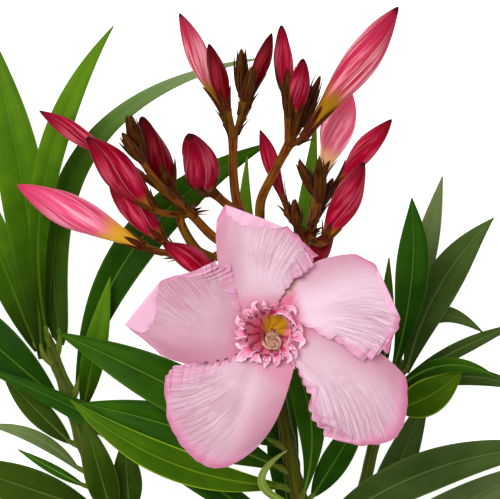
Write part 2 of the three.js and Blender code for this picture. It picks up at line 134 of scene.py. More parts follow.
def gridFaces(index):  # a face between each four neighbours
    return np.stack([index[:-1, :-1], index[1:, :-1], index[1:, 1:], index[:-1, 1:]], axis=-1).reshape(-1, 4)


def shellOf(points, faces, marks, measures):  # joins the parts of a closed shell
    flat = lambda parts: np.concatenate([part.reshape(-1, 3) for part in parts])
    return {"points": flat(points), "faces": np.concatenate(faces), "place": flat(marks),
            "measure": flat(measures)}


# A thin closed shell: a grid of points for the upper face, one for the under face, and walls round
# their rims. place is the share across, the share along and 1 above or 0 below; measure is in mm.
def sheetShell(top, under, across, along, measure):
    index = gridOf(top)
    rim = np.concatenate([index[:-1, 0], index[-1, :-1], index[:0:-1, -1], index[0, :0:-1]])
    ahead = np.roll(rim, -1)
    walls = np.stack([ahead, rim, rim + index.size, ahead + index.size], axis=-1)
    faces = gridFaces(index)
    marks = [triple(across, along, side) for side in (1, 0)]
    return shellOf([top, under], [faces, faces[:, ::-1] + index.size, walls], marks, [measure, measure])


# A closed tube: rings of points with a fan to a pole at each end.
def tubeShell(rings, mark, measure):
    index = gridOf(rings)
    faces = [gridFaces(np.pad(index, ((0, 0), (0, 1)), mode="wrap"))]
    for ring, number in ((index[0], index.size), (index[-1][::-1], index.size + 1)):
        pole = np.full(len(ring), number)
        faces.append(np.stack([ring, np.roll(ring, -1), pole, pole], axis=-1))
    ends = lambda grid: [grid, grid[[0, -1]].mean(axis=1)]
    return shellOf(ends(rings), faces, ends(mark), ends(measure))


def sixVolumes(shell):  # six times the volume of a closed shell, below zero where its faces point in
    a, b, c, d = (shell["points"][corner] for corner in shell["faces"].T)
    return (a * (np.cross(b, c) + np.cross(c, d))).sum()


# A piece of one or more closed shells, in metres, riding on the frame.
def makePiece(name, shells, material, replaced=()):
    count, faces = 0, []
    for shell in shells:
        turned = shell["faces"] if sixVolumes(shell) > 0 else shell["faces"][:, ::-1]
        faces += [list(dict.fromkeys(face)) for face in (turned + count).tolist()]  # fans have three corners
        count += len(shell["points"])
    joined = lambda label: np.concatenate([shell[label] for shell in shells])
    mesh = bpy.data.meshes.new(name)
    mesh.from_pydata(joined("points") * mm, [], faces)
    for label in ("place", "measure"):
        attribute = mesh.attributes.new(label, "FLOAT_VECTOR", "POINT")
        attribute.data.foreach_set("vector", joined(label).astype(np.float32).ravel())
    mesh.shade_smooth()
    mesh.set_sharp_from_angle(angle=np.radians(62))
    mesh.materials.append(material)
    piece = bpy.data.objects.new(name, mesh)
    bpy.context.scene.collection.objects.link(piece)
    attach(piece, "root")
    if replaced:
        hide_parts(*replaced)


# A round tube: a circle of changing radius carried along a path. The circle's first direction is
# square to the way that the path itself leans least.
def tubeAlong(path, radii, around=20):
    run = unit(np.gradient(path, axis=0))
    side = unit(np.cross(run, np.linalg.svd(run)[2][-1]))
    turn, share = circle(around), shares(len(path))[:, None]
    radii = np.broadcast_to(radii, len(path))[:, None]
    ring = np.cos(turn)[:, None] * side[:, None] + np.sin(turn)[:, None] * np.cross(side, run)[:, None]
    measure = triple(radii, share * lengthOf(path), 0 * turn)
    return tubeShell(path[:, None] + radii[..., None] * ring, polar(1, turn, share), measure)


# A strap: a thin blade carried along a path. Its edges rise by cup times its half-width, and its
# depth falls to nothing at the edges.
def strapAlong(path, side, up, half, depth, cup=0, columns=7, tone=0):
    x, share, half = np.linspace(-1, 1, columns), shares(len(path))[:, None], half[:, None]
    side, up = side[:, None], up[:, None]
    middle = path[:, None] + side * (x * half)[..., None] + up * (cup * half * x ** 2)[..., None]
    thick = up * (depth[:, None] * np.sqrt(1 - 0.98 * x ** 2))[..., None]
    measure = triple(x * half, share * lengthOf(path), tone)
    return sheetShell(middle + thick, middle - thick, x, share, measure)


# A number or colour in a shader: arithmetic on it adds Math nodes to its own node tree.
class Value:
    def __init__(self, socket):
        self.socket = socket

    def __add__(self, other):
        return sums("ADD", self, other)

    def __sub__(self, other):
        return sums("SUBTRACT", self, other)

    def __rsub__(self, other):
        return sums("SUBTRACT", other, self)

    def __mul__(self, other):
        return sums("MULTIPLY", self, other)

    def __truediv__(self, other):
        return sums("DIVIDE", self, other)

    def __abs__(self):
        return sums("ABSOLUTE", self)


def give(value, socket):  # links a value to a socket, or sets a plain number or colour on it
    if isinstance(value, Value):
        socket.id_data.links.new(value.socket, socket)
    else:
        socket.default_value = (*value, 1) if isinstance(value, tuple) else value


# A new node, fed by inputs. It goes into the tree of the values that feed it, or into the given one.
def addNode(kind, inputs, tree=None, **settings):
    fed = [value.socket for value in inputs.values() if isinstance(value, Value)]
    node = (tree or fed[0].id_data).nodes.new("ShaderNode" + kind)
    for key, value in settings.items():
        setattr(node, key, value)
    for key, value in inputs.items():
        give(value, node.inputs[key])
    return [Value(socket) for socket in node.outputs]


def sums(operation, first, second=0):  # one Math node
    return addNode("Math", {0: first, 1: second}, operation=operation)[0]


def ramp(value, low, high, start=0, end=1):  # start below low and end above high
    inputs = {"Value": value, "From Min": low, "From Max": high, "To Min": start, "To Max": end}
    return addNode("MapRange", inputs, interpolation_type="SMOOTHSTEP")[0]


def mixed(amount, first, second, way="MIX"):
    return addNode("Mix", {0: amount, 6: first, 7: second}, data_type="RGBA", blend_type=way)[2]


def coated(colour, *coats):  # lays each coat, an amount and a colour, over what is below it
    for amount, coat in coats:
        colour = mixed(amount, colour, coat)
    return colour


def readMark(tree, label):  # the three numbers that a piece keeps at each point
    return addNode("SeparateXYZ", {0: addNode("Attribute", {}, tree, attribute_name=label)[1]})


def spotOf(tree):  # the place in the object's own space
    return addNode("TexCoord", {}, tree)[3]


def noise(vector, scale, detail=3, roughness=0.5):
    inputs = {"Vector": vector, "Scale": scale, "Detail": detail, "Roughness": roughness}
    return addNode("TexNoise", inputs)[0]


def vectorOf(x, y, z=0):
    return addNode("CombineXYZ", {0: x, 1: y, 2: z})[0]


def newGroup(name, inputs, outputs):
    tree = bpy.data.node_groups.new(name, "ShaderNodeTree")
    for way, labels in (("INPUT", inputs), ("OUTPUT", outputs)):
        for label in labels:
            tree.interface.new_socket(name=label, in_out=way, socket_type="NodeSocketFloat")
    given = [Value(socket) for socket in tree.nodes.new("NodeGroupInput").outputs]
    return tree, given[:len(inputs)], tree.nodes.new("NodeGroupOutput").inputs


def useGroup(tree, group, **values):
    return addNode("Group", values, tree, node_tree=group)


# Soft patches of tone over a piece, from two sizes of noise.
def makeMottle():
    tree, (scale, low, high), made = newGroup("mottle", ["Scale", "Low", "High"], ["Mask"])
    spot = spotOf(tree)
    give(ramp(noise(spot, scale * 4.3) * 0.3 + noise(spot, scale) * 0.7, low, high), made[0])
    return tree


# Fine fibres that run along a piece: noise stretched lengthwise, read from its own marks.
def makeFibres():
    tree, given, made = newGroup("fibres", ["Across", "Along", "Low", "High"], ["Mask"])
    wide, long, low, high = given
    mark = readMark(tree, "place")
    stretched = vectorOf(mark[0] * wide, mark[1] * wide, mark[2] * long)
    give(ramp(noise(stretched, 1, 4), low, high), made[0])
    return tree


# Lines on a blade: the midrib, the thin margin, and side veins that slant forwards from the midrib.
def makeBladeLines():
    tree, given, made = newGroup("bladeLines", ["Rib", "Spacing", "Slant"], ["Midrib", "Margin", "Veins"])
    rib, spacing, slant = given
    mark, size = readMark(tree, "place"), readMark(tree, "measure")
    away = abs(size[0])
    waver = noise(vectorOf(size[0], size[1]), 0.7) * 0.9
    phase = sums("FRACT", (size[1] - away * slant) / spacing + waver)
    give(ramp(away / (rib * (1.15 - mark[1])), 0.45, 1, 1, 0), made[0])
    give(ramp(abs(mark[0]), 0.88, 0.985), made[1])
    give(ramp(abs(phase - 0.5), 0, 0.22, 1, 0), made[2])
    return tree


mottle, fibres, bladeLines = makeMottle(), makeFibres(), makeBladeLines()


def newMaterial(name, settings):
    material = bpy.data.materials.new(name)
    material.use_nodes = True
    shader = material.node_tree.nodes["Principled BSDF"]
    for label, value in settings.items():
        give(value, shader.inputs[label])
    return material, shader, material.node_tree


# Feeds a shader its colour, how rough it is, and bumps of a height, with their depth in millimetres.
def dress(shader, colour, rough, height, depth, strength=1):
    bump = addNode("Bump", {"Height": height, "Distance": depth * mm, "Strength": strength})[0]
    for label, value in (("Base Color", colour), ("Roughness", rough), ("Normal", bump)):
        give(value, shader.inputs[label])


# Leaf skin: a waxy green, darkened towards its foot by painted shade, with a thin pale midrib and
# margin, very faint side veins and a paler underside.
def leafMaterial(name, look):
    material, shader, tree = newMaterial(name, {"Specular IOR Level": 0.02})
    midrib, margin, veins = useGroup(tree, bladeLines, Rib=look.rib, Spacing=0.55, Slant=0.6)
    patches = useGroup(tree, mottle, Scale=70, Low=0.34, High=0.68)[0]
    bands = useGroup(tree, fibres, Across=1.6, Along=1.2, Low=0.36, High=0.66)[0]
    _, along, upper = readMark(tree, "place")
    # painted shade: the blade darkens towards its foot, near the shoot
    shade = ramp(along, 0, look.reach, look.foot, 1)
    grey = addNode("CombineColor", {0: shade, 1: shade, 2: shade})[0]
    face = mixed(1, mixed(bands * 0.45 + patches * 0.55, look.deep, look.light), grey, "MULTIPLY")
    fade = ramp(along, 0.45, 1, 0, look.fade)
    for amount in (fade, veins * 0.05, midrib * look.ribShow, margin * look.edgeShow):
        face = mixed(amount, face, look.line)
    back = mixed(midrib, look.under, look.line)
    gloss = ramp(patches, 0, 1, look.rough - 0.06, look.rough + 0.08)
    height = noise(spotOf(tree), 2600, 2) * 0.2 + veins * 0.4
    dress(shader, mixed(ramp(upper, 0.35, 0.65), back, face), gloss, height, 0.06, 0.4)
    return material


# deep and light are the two greens of the face, line is the midrib's and under the underside's. rib
# is the midrib's half-width, ribShow and edgeShow are how much midrib and margin show, foot is how
# bright the blade starts under its painted shade, up to the share reach, and fade is how much of line
# its tip takes.
# Beside the leaves' own greens, the looks hold painted light and shade: bright is a lit copy of the leaf
# skin, and dark, deep and dusk are shaded copies.
leafLooks = table("deep light line under rough rib ribShow edgeShow foot reach fade", {
    "deep": ((0.01, 0.046, 0.001), (0.034, 0.11, 0.002), (0.13, 0.24, 0.03), (0.07, 0.13, 0.03), 0.42,
             0.3, 0.6, 0.25, 0.55, 0.4, 0),
    "dark": ((0.006, 0.034, 0.001), (0.02, 0.078, 0.002), (0.1, 0.2, 0.02), (0.07, 0.13, 0.03), 0.4,
             0.3, 0.5, 0.2, 0.7, 0.4, 0),
    "dusk": ((0.014, 0.036, 0.0008), (0.04, 0.075, 0.004), (0.11, 0.17, 0.03), (0.08, 0.12, 0.03), 0.5,
             0.34, 0.45, 0.2, 0.6, 0.4, 0.1),
    "bright": ((0.03, 0.1, 0.001), (0.09, 0.205, 0.004), (0.14, 0.26, 0.02), (0.09, 0.2, 0.03), 0.5,
               0.34, 0.25, 0.12, 0.12, 0.6, 0.3),
    "grey": ((0.022, 0.052, 0.006), (0.058, 0.098, 0.02), (0.13, 0.19, 0.05), (0.1, 0.14, 0.06), 0.46,
             0.34, 0.5, 0.25, 0.7, 0.4, 0.2),
    "pale": ((0.07, 0.115, 0.028), (0.14, 0.19, 0.065), (0.2, 0.26, 0.09), (0.14, 0.19, 0.08), 0.5,
             0.3, 0.35, 0.2, 0.8, 0.3, 0.4),
    "edged": ((0.026, 0.08, 0.001), (0.07, 0.15, 0.003), (0.22, 0.34, 0.015), (0.16, 0.28, 0.04), 0.42,
              0.32, 0.4, 0.95, 0.8, 0.3, 0),
    "soft": ((0.03, 0.095, 0.002), (0.075, 0.16, 0.008), (0.22, 0.32, 0.13), (0.12, 0.19, 0.06), 0.5,
             0.3, 0.1, 0.1, 0.35, 0.4, 1),
    "young": ((0.13, 0.21, 0.025), (0.23, 0.33, 0.05), (0.42, 0.5, 0.12), (0.2, 0.3, 0.08), 0.45, 0.3,
              0.5, 0.5, 0.9, 0.2, 0.3),
})
leafMaterials = {name: leafMaterial("leaf_" + name, look) for name, look in leafLooks.items()}


# Bark and stalk skin: two tones in long fibres, mottled with a third.
def stalkMaterial(name, look):
    material, shader, tree = newMaterial(name, {"Specular IOR Level": 0.03})
    streaks = useGroup(tree, fibres, Across=2.2, Along=2.2, Low=0.38, High=0.62)[0]
    patches = useGroup(tree, mottle, Scale=look.scale, Low=0.42, High=0.62)[0]
    colour = coated(mixed(streaks, look.dark, look.light), (patches * look.patch, look.other))
    dress(shader, colour, ramp(patches, 0, 1, 0.42, 0.62), patches * 0.4 + streaks, 0.12, 0.7)
    return material


# scale is how fine the mottling of the colour other is, and patch how much of it shows.
stalkLooks = table("dark light other scale patch", {
    "shoot": ((0.032, 0.056, 0.005), (0.075, 0.11, 0.012), (0.11, 0.095, 0.022), 420, 0.4),
    "stalk": ((0.08, 0.012, 0.002), (0.23, 0.062, 0.008), (0.135, 0.095, 0.006), 230, 0.55),
    "green": ((0.022, 0.034, 0.002), (0.075, 0.09, 0.006), (0.1, 0.045, 0.008), 300, 0.35),
    "sepal": ((0.03, 0.003, 0.002), (0.13, 0.022, 0.006), (0.12, 0.07, 0.006), 380, 0.35),
    "brown": ((0.02, 0.003, 0.001), (0.12, 0.03, 0.006), (0.08, 0.048, 0.004), 420, 0.35),
    "leafStalk": ((0.05, 0.095, 0.006), (0.13, 0.19, 0.018), (0.16, 0.12, 0.03), 300, 0.4),
})
stalkMaterials = {name: stalkMaterial(name + "_skin", look) for name, look in stalkLooks.items()}


# Cut wood: pale wood round a paler pith, with a green rim under the bark.
def cutMaterial():
    material, shader, tree = newMaterial("cut_wood", {})
    out = readMark(tree, "measure")[0] + noise(spotOf(tree), 900) * 0.25
    colour = mixed(ramp(out, 0.7, 0.95), (0.62, 0.66, 0.42), (0.52, 0.48, 0.26))
    colour = mixed(ramp(out, 2.05, 2.3), colour, (0.14, 0.22, 0.05))
    dress(shader, colour, 0.75, noise(spotOf(tree), 3000), 0.08)
    return material


# Bud skin: each of its five rolled lobes runs from its neck through its body to a dark tip, with a
# painted highlight down its middle. A thin pale line follows the edge that lies on top, with a dark
# line of painted shade beside it.
def budMaterial(name, look):
    material, shader, tree = newMaterial(name, {"Specular IOR Level": 0.03})
    lobe, number, along = readMark(tree, "place")
    streak = noise(vectorOf(lobe * 3.2, number * 3.1, along * 2), 1, 3)
    fine = noise(vectorOf(lobe * 14, number * 3.1, along * 2.5), 1, 2)
    own = noise(vectorOf(number * 7.7, 0.5, 0.5), 1, 0)
    middle = ramp(along, 0.2, 0.5) * ramp(along, 0.55, 0.85, 1, 0)
    body = coated(
        mixed(ramp(streak, 0.34, 0.68), look.body, look.flush),
        (ramp(own, 0.45, 0.62, 0, 0.45), look.edge),
        # painted highlight down the middle of the bud
        (middle * ramp(streak, 0.42, 0.62, 0, look.shine), look.light),
        (ramp(fine, 0.45, 0.7, 0, 0.22), look.edge),
        (ramp(lobe, 0.7, 0.96, 0, 0.55), look.edge),
        (ramp(lobe, 0.93, 0.985, 0, 0.55), look.light),
        # painted shade beside the edge that lies on top
        (ramp(lobe, 0, 0.1, 0.85, 0), look.edge),
        (ramp(along, 0.66, 0.97, 0, 0.75), look.edge),
        (ramp(along, 0.93, 0.99, 0, look.tip), (0.025, 0.002, 0.003)))
    waver = (streak - 0.5) * 0.22 + along
    colour = mixed(ramp(waver, look.neckEnd - 0.1, look.neckEnd + 0.08), look.neck, body)
    dress(shader, colour, ramp(fine, 0.3, 0.7, 0.36, 0.52), fine * 0.5 + streak, 0.12, 0.6)
    return material


# body and flush are a bud's main tones, light and edge its lines, and neck the colour of its foot,
# which ends at the share neckEnd. light is also the colour of the painted highlight, shine how much of
# it the middle takes, and tip how dark it ends.
budLooks = table("body flush light edge neck neckEnd shine tip", {
    "crimson": ((0.3, 0.0012, 0.016), (0.44, 0.006, 0.045), (0.7, 0.13, 0.2), (0.12, 0.0006, 0.005),
                (0.28, 0.11, 0.005), 0.14, 0.4, 0.9),
    "dark": ((0.13, 0.0005, 0.004), (0.22, 0.002, 0.01), (0.43, 0.035, 0.055), (0.05, 0.0005, 0.002),
             (0.08, 0.01, 0.005), 0.1, 0.35, 0.9),
    "rose": ((0.66, 0.035, 0.11), (0.86, 0.14, 0.22), (0.95, 0.38, 0.43), (0.26, 0.002, 0.022),
             (0.32, 0.15, 0.006), 0.34, 0.95, 0.9),
    "coral": ((0.34, 0.003, 0.024), (0.5, 0.014, 0.06), (0.76, 0.17, 0.22), (0.16, 0.001, 0.008),
              (0.4, 0.045, 0.014), 0.24, 0.6, 0.9),
    "pale": ((0.74, 0.085, 0.2), (0.85, 0.17, 0.3), (0.93, 0.39, 0.49), (0.56, 0.022, 0.095),
             (0.68, 0.36, 0.03), 0.3, 0.9, 0.25),
    # salmon is a brighter copy of pale: its own salmon tint, with painted light against the shadow that
    # bud_4 casts on bud_15
    "salmon": ((0.9, 0.15, 0.25), (0.95, 0.25, 0.37), (1, 0.6, 0.66), (0.74, 0.04, 0.12),
               (0.95, 0.52, 0.26), 0.3, 0.9, 0.3),
})
budMaterials = {name: budMaterial("bud_" + name, look) for name, look in budLooks.items()}

petalDetail = Named(rows=130, columns=141, thickness=0.3, claw=-0.06, scallop=0.35, ruffle=0.75,
                    crimp=1, edge=0.9, wavyRim=0.3, pleat=0.02, swell=0.45, smoothDrop=0.25,
                    bend=0.022)
petalColours = Named(middle=(0.5, 0.245, 0.31), pale=(0.73, 0.52, 0.61), white=(0.73, 0.53, 0.62),
                     edge=(0.44, 0.11, 0.2), bright=(0.74, 0.26, 0.45), vein=(0.4, 0.15, 0.235),
                     blush=(0.6, 0.1, 0.21), cream=(0.66, 0.52, 0.34), under=(0.76, 0.41, 0.56),
                     crease=(0.06, 0.002, 0.008))


# Petal skin: a greyish pink, whitish in the middle, with a deep band along its smooth side, a bright
# rim and frill, and a blush by the throat. Painted shade deepens the darker petals, darkens soft folds
# and ruffles, and lies as a dark line in the gap along the frilled edge by the foot. Fine veins fan
# out from the foot: each is a line of equal bearing, with a share of the distance added to it, so that
# it bends towards the frilled side. The marks run from -1 on the frilled side to 1 on the smooth side,
# and outwards. The sizes are the distance across, the distance from the bloom's centre in mm, and the
# depth of tone, which is painted shade.
def petalMaterial():
    material, shader, tree = newMaterial("petal_skin", {"Specular IOR Level": 0.2, "Sheen Weight": 0.05})
    across, out, upper = readMark(tree, "place")
    wide, reach, tone = readMark(tree, "measure")
    hue = petalColours
    patches = useGroup(tree, mottle, Scale=150, Low=0.36, High=0.62)[0]
    distance = sums("SQRT", wide * wide + reach * reach)
    waver = noise(vectorOf(wide * 0.35, reach * 0.35, tone), 1)
    fan = waver * 0.035 + (distance * petalDetail.bend + sums("ARCTAN2", wide, reach - 3))
    veins = ramp(noise(vectorOf(fan * 95, distance * 0.16, tone), 1, 1, 0.6), 0.48, 0.6)
    # folds: painted shade of soft folds and ruffles, bands of deeper pink across the fan that also vary the
    # bright frill
    folds = ramp(noise(vectorOf(fan * 26, distance * 0.09, tone), 1, 2, 0.5), 0.42, 0.66)
    show = ramp(out, 0.18, 0.55) * ramp(across, -0.25, 0.55, 1, 0.12)
    inner = ramp(out, 0.05, 0.35) * ramp(out, 0.55, 0.9, 1, 0)
    middle = inner * ramp(across, 0.1, 0.6, 1, 0.15) * ramp(patches, 0, 1, 0.25, 0.85)
    smoothEdge = ramp(across, 0.3, 1.02) * ramp(out, 0, 0.4, 0.25, 0.62)
    frill = ramp(across, -0.7, -1) * ramp(folds, 0, 1, 0.55, 1)
    rim = ramp(folds * 0.05 + out, 0.84, 1.02, 0, 0.85)
    blush = ramp(reach - folds * 0.8, 5.6, 8.6, 1, 0) * ramp(tone, 0, 0.7, 0.9, 0.35)
    corner = ramp(across, 0.62, 0.9) * ramp(reach, 6.5, 9.5, 0.7, 0)
    # painted shadow: a dark line in the gap along the frilled edge by the foot, where the petals overlap
    crease = ramp(across, -0.93, -0.985) * ramp(reach, 13.5, 10.5, 0, 0.9)
    colour = coated(
        # tone deepens the pink: painted shade on the darker petals
        mixed(tone, hue.pale, hue.middle),
        (middle * ramp(tone, 0.3, 1, 1, 0.35), hue.white),
        (veins * show * 0.6, hue.vein),
        # painted shade of soft folds
        (folds * show * 0.22, hue.edge),
        (smoothEdge, hue.edge),
        (frill * 0.85, hue.bright),
        (rim, hue.bright),
        (ramp(out, 0.9, 1, 0, 0.6), hue.edge),
        (blush, hue.blush),
        (corner * ramp(tone, 0, 0.3, 1, 0), hue.cream),
        (crease * ramp(abs(tone - 0.5), 0.2, 0.4, 1, 0), hue.crease))
    height = noise(spotOf(tree), 2200, 2) * 0.2 + veins * show * -0.8
    dress(shader, mixed(ramp(upper, 0.35, 0.65), hue.under, colour), ramp(veins, 0, 1, 0.44, 0.58),
          height, 0.09, 0.5)
    return material


# Throat skin: rose, deepening to red towards the axis in painted shade down the funnel, with deep red
# lines that run down it, and an olive-yellow patch on one side of it that fades into the rose. Its
# marks are the direction from the axis, and its measures the radius, the level and the inside.
def throatMaterial():
    material, shader, tree = newMaterial("throat_skin", {"Specular IOR Level": 0.2})
    mark, (radius, level, inside) = readMark(tree, "place"), readMark(tree, "measure")
    x, y = mark[0] * radius, mark[1] * radius
    waver = noise(vectorOf(x, y, level), 0.7)
    wave = sums("COSINE", sums("ARCTAN2", mark[1], mark[0]) * 11 + waver * 5)
    stripes = ramp(wave, 0.3, 0.95)
    dx, dy = x - 1.6, y - 1.7
    away = waver * 1.2 + sums("SQRT", dx * dx + dy * dy)
    yellow = mixed(ramp(wave, -0.2, 0.9), (0.56, 0.3, 0.01), (0.47, 0.19, 0.01))
    colour = coated(
        # painted shade: deeper red towards the axis, down in the funnel
        mixed(ramp(radius, 4.6, 1.8), (0.9, 0.26, 0.39), (0.64, 0.06, 0.13)),
        (stripes * ramp(radius, 5.4, 4, 0.1, 0.75), (0.33, 0.004, 0.04)),
        (ramp(away, 2.3, 3.7, 1, 0), yellow),
        (ramp(radius, 5.2, 6), (0.7, 0.18, 0.3)))
    outside = mixed(ramp(level, -16, -4), (0.6, 0.4, 0.12), (0.64, 0.23, 0.33))
    dress(shader, mixed(ramp(inside, 0.4, 0.6), outside, colour), ramp(stripes, 0, 1, 0.42, 0.58),
          stripes, 0.15, 0.5)
    return material


# Fringe skin: deep rose at its foot, partly painted shade, with darker lines, and a pale lilac-pink
# torn edge and tip, partly painted highlight.
def fringeMaterial():
    material, shader, tree = newMaterial("fringe_skin", {"Specular IOR Level": 0.3})
    across, along, _ = readMark(tree, "place")
    lines = noise(vectorOf(across * 6, along * 2.2), 1, 3)
    pale = (0.94, 0.58, 0.74)
    colour = coated(
        # painted shade at the foot, painted highlight on the pale tips and edges
        mixed(ramp(along, 0.1, 0.55), (0.54, 0.03, 0.11), (0.84, 0.26, 0.43)),
        (ramp(lines, 0.46, 0.62, 0, 0.7), (0.48, 0.02, 0.1)),
        (ramp(along, 0.5, 0.9, 0, 0.85), pale),
        (ramp(abs(across), 0.5, 0.98, 0, 0.85), pale))
    patches = useGroup(tree, mottle, Scale=500, Low=0.4, High=0.6)[0]
    dress(shader, colour, 0.4, lines + patches, 0.1, 0.5)
    return material


# Stamen skin: pale salmon hairs, darkened to red by painted shade down in the throat.
def stamenMaterial():
    material, shader, tree = newMaterial("stamen_skin", {"Specular IOR Level": 0.2})
    hairs = useGroup(tree, fibres, Across=7, Along=9, Low=0.4, High=0.6)[0]
    along = readMark(tree, "place")[2]
    colour = coated(
        mixed(hairs, (0.98, 0.43, 0.28), (1, 0.76, 0.54)),
        # painted shade where the threads run down into the throat
        (ramp(along, 0.2, 0.42, 0.85, 0), (0.4, 0.08, 0.04)))
    dress(shader, colour, 0.7, hairs, 0.12)
    return material


print("materials ready")

stems = table("radii route", {
    "main_stem": ([cutRadius, 2], [[0, -3, 2.5], [0, 10, 2.5], [0, 24, 4.5], [0, 36, 8.5], [0, 46, 13]]),
    "left_shoot": ([1.9, 1.3], [[-3.1, 20.4, 4.2], [-5, 21, 4.5], [-10, 26.5, 5], [-30, 36, 5], [-41, 47, 6],
                                [-46, 59, 7], [-50, 72, 8], [-55, 84, 9]]),
    "right_shoot": ([1.6, 1.1], [[3, 21.2, 4.4], [4.6, 22.2, 4.9], [7.5, 29, 6.5], [11, 42, 9],
                                 [13.5, 53, 11.5], [15.5, 62, 13.5], [18.5, 71.5, 16], [20.5, 79, 18]]),
    "flower_stalk": ([1.6, 1.2], [[0, 46.9, 13.4], [-2, 56, 17], [-3.5, 64.5, 20], [-6, 77, 22],
                                  [-8.5, 90, 25], [-10.5, 106, 31.5]]),
})
stemDetail = Named(step=0.8, swelling=0.28, swellLength=1.6, waver=0.035, cutEnd=0.4, flare=0.5,
                   flareLength=3.5, around=28)
shootFoot = [0, 19.8, 3.9]  # inside the stem, where both shoots leave it
stemPaths = {name: splinePath(stem.route) for name, stem in stems.items()}

# on is the leaf's shoot, along its place on it and around its turn round it. bow and arch bend its
# midrib sideways and up, and belly is where along it the blade is widest.
leaves = table("on along around tip bow arch width belly look", {
    "leaf_left_1": ("left_shoot", 0.95, 55, [-68, 152, 12], -2.5, 2, 9.6, 0.5, "bright"),
    "leaf_left_2": ("left_shoot", 0.99, -15, [-39.5, 149, 24], 7.2, 5, 5.4, 0.6, "bright"),
    "leaf_left_3": ("left_shoot", 0.97, 110, [-74, 126, 4], 0, 4, 7.6, 0.45, "bright"),
    "leaf_left_4": ("left_shoot", 0.96, -80, [-8, 142.8, 16], 19.2, 2, 5.6, 0.25, "soft"),
    "leaf_left_5": ("left_shoot", 0.85, -60, [-6.5, 125, 12], 9, 4, 8.4, 0.52, "deep"),
    "leaf_left_6": ("left_shoot", 0.8, -50, [-40.5, 96.5, 17], 0, 2, 4.8, 0.45, "bright"),
    "leaf_left_7": ("left_shoot", 0.85, 80, [-84, 98, 0.2], 0, 4, 9.8, 0.45, "dark"),
    "leaf_left_8": ("left_shoot", 0.73, 60, [-64, 75, 2], 0, 2, 5, 0.45, "dusk"),
    "leaf_left_9": ("left_shoot", 0.66, 100, [-68, 64.5, 2], -2.4, 2, 2.8, 0.45, "pale"),
    "leaf_left_10": ("left_shoot", 0.56, 80, [-76, 57, 0.2], 0, 3, 8.6, 0.45, "dusk"),
    "leaf_left_11": ("left_shoot", 0.62, 70, [-60.5, 59.5, 7], 0, 1, 1.9, 0.45, "deep"),
    "leaf_left_12": ("left_shoot", 0.52, 10, [-46, 67, 15], 0, 2, 6.6, 0.45, "dusk"),
    "leaf_left_13": ("left_shoot", 0.5, -60, [-37.8, 62.5, 10], 0, 1, 6, 0.45, "dusk"),
    "leaf_right_1": ("right_shoot", 0.97, 20, [22.6, 113, 28], -1.7, 2, 6.8, 0.6, "dark"),
    "leaf_right_2": ("right_shoot", 0.97, -50, [41, 109, 8], 3, 3, 7.6, 0.5, "grey"),
    "leaf_right_3": ("right_shoot", 0.97, 180, [30.5, 118, 0.2], 0, 1, 5, 0.55, "pale"),
    "leaf_right_4": ("right_shoot", 0.99, -110, [38.5, 84.7, 10], 7.5, 2, 3.6, 0.45, "grey"),
    "leaf_right_5": ("right_shoot", 0.92, -135, [47, 86.5, 4.6], 1, 2, 3, 0.45, "grey"),
    "leaf_right_6": ("right_shoot", 0.9, -120, [48, 72, 6], 3, 4, 3.4, 0.45, "grey"),
    "leaf_right_7": ("right_shoot", 0.93, -45, [40.5, 75.5, 23], 3.4, 2, 3, 0.45, "deep"),
    "leaf_right_8": ("right_shoot", 0.3, -60, [27.5, 73, 8], 0, 2, 7, 0.45, "grey"),
    "leaf_right_9": ("right_shoot", 0.32, -110, [56, 58, 0.2], 0, 3, 7.2, 0.45, "pale"),
    "leaf_right_10": ("right_shoot", 0.84, -65, [33.5, 77, 20], -1, 2, 7.4, 0.45, "edged"),
    "leaf_right_11": ("right_shoot", 0.95, 90, [18.5, 100.5, 12], 0, 1, 2.8, 0.45, "deep"),
    "leaf_front_1": ("flower_stalk", 0.27, 60, [-51.5, 85, 22], -1, 6, 10, 0.45, "deep"),
    "leaf_front_2": ("flower_stalk", 0.18, 75, [-46.7, 70, 19], -1.5, 4, 9, 0.5, "deep"),
    "leaf_front_3": ("flower_stalk", 0.11, 80, [-48.5, 71, 25], 4, 4, 6.6, 0.5, "edged"),
    "leaf_front_4": ("main_stem", 0.86, 120, [-41, 62.5, 4], -1.5, 0, 5.4, 0.45, "deep"),
    "leaf_front_5": ("main_stem", 0.92, -60, [55.3, 60.7, 18], 5.4, 6, 8.4, 0.45, "grey"),
    "leaf_under_1": ("flower_stalk", 0.08, -20, [-4, 82.5, 28], -3.6, 1, 6.2, 0.6, "deep"),
    "leaf_under_2": ("flower_stalk", 0.05, -80, [14.5, 71, 22], 0, 3, 5.6, 0.45, "dark"),
    "leaf_under_3": ("main_stem", 0.9, 90, [-70.5, 78.5, 13], -2.5, 1.5, 5.6, 0.45, "dark"),
    "leaf_under_4": ("main_stem", 0.95, 130, [-3.6, 82, 12], 1, 0, 6.4, 0.45, "deep"),
    "leaf_back_1": ("flower_stalk", 0.5, 150, [-11.6, 122, 16], 2, 1, 4.6, 0.45, "bright"),
    "leaf_back_2": ("flower_stalk", 0.45, -100, [3, 130, 12], 0, 1, 5, 0.45, "bright"),
    "young_leaf": ("flower_stalk", 0.05, 30, [-3.3, 60.5, 27], 6, 1, 1.5, 0.45, "young"),
})


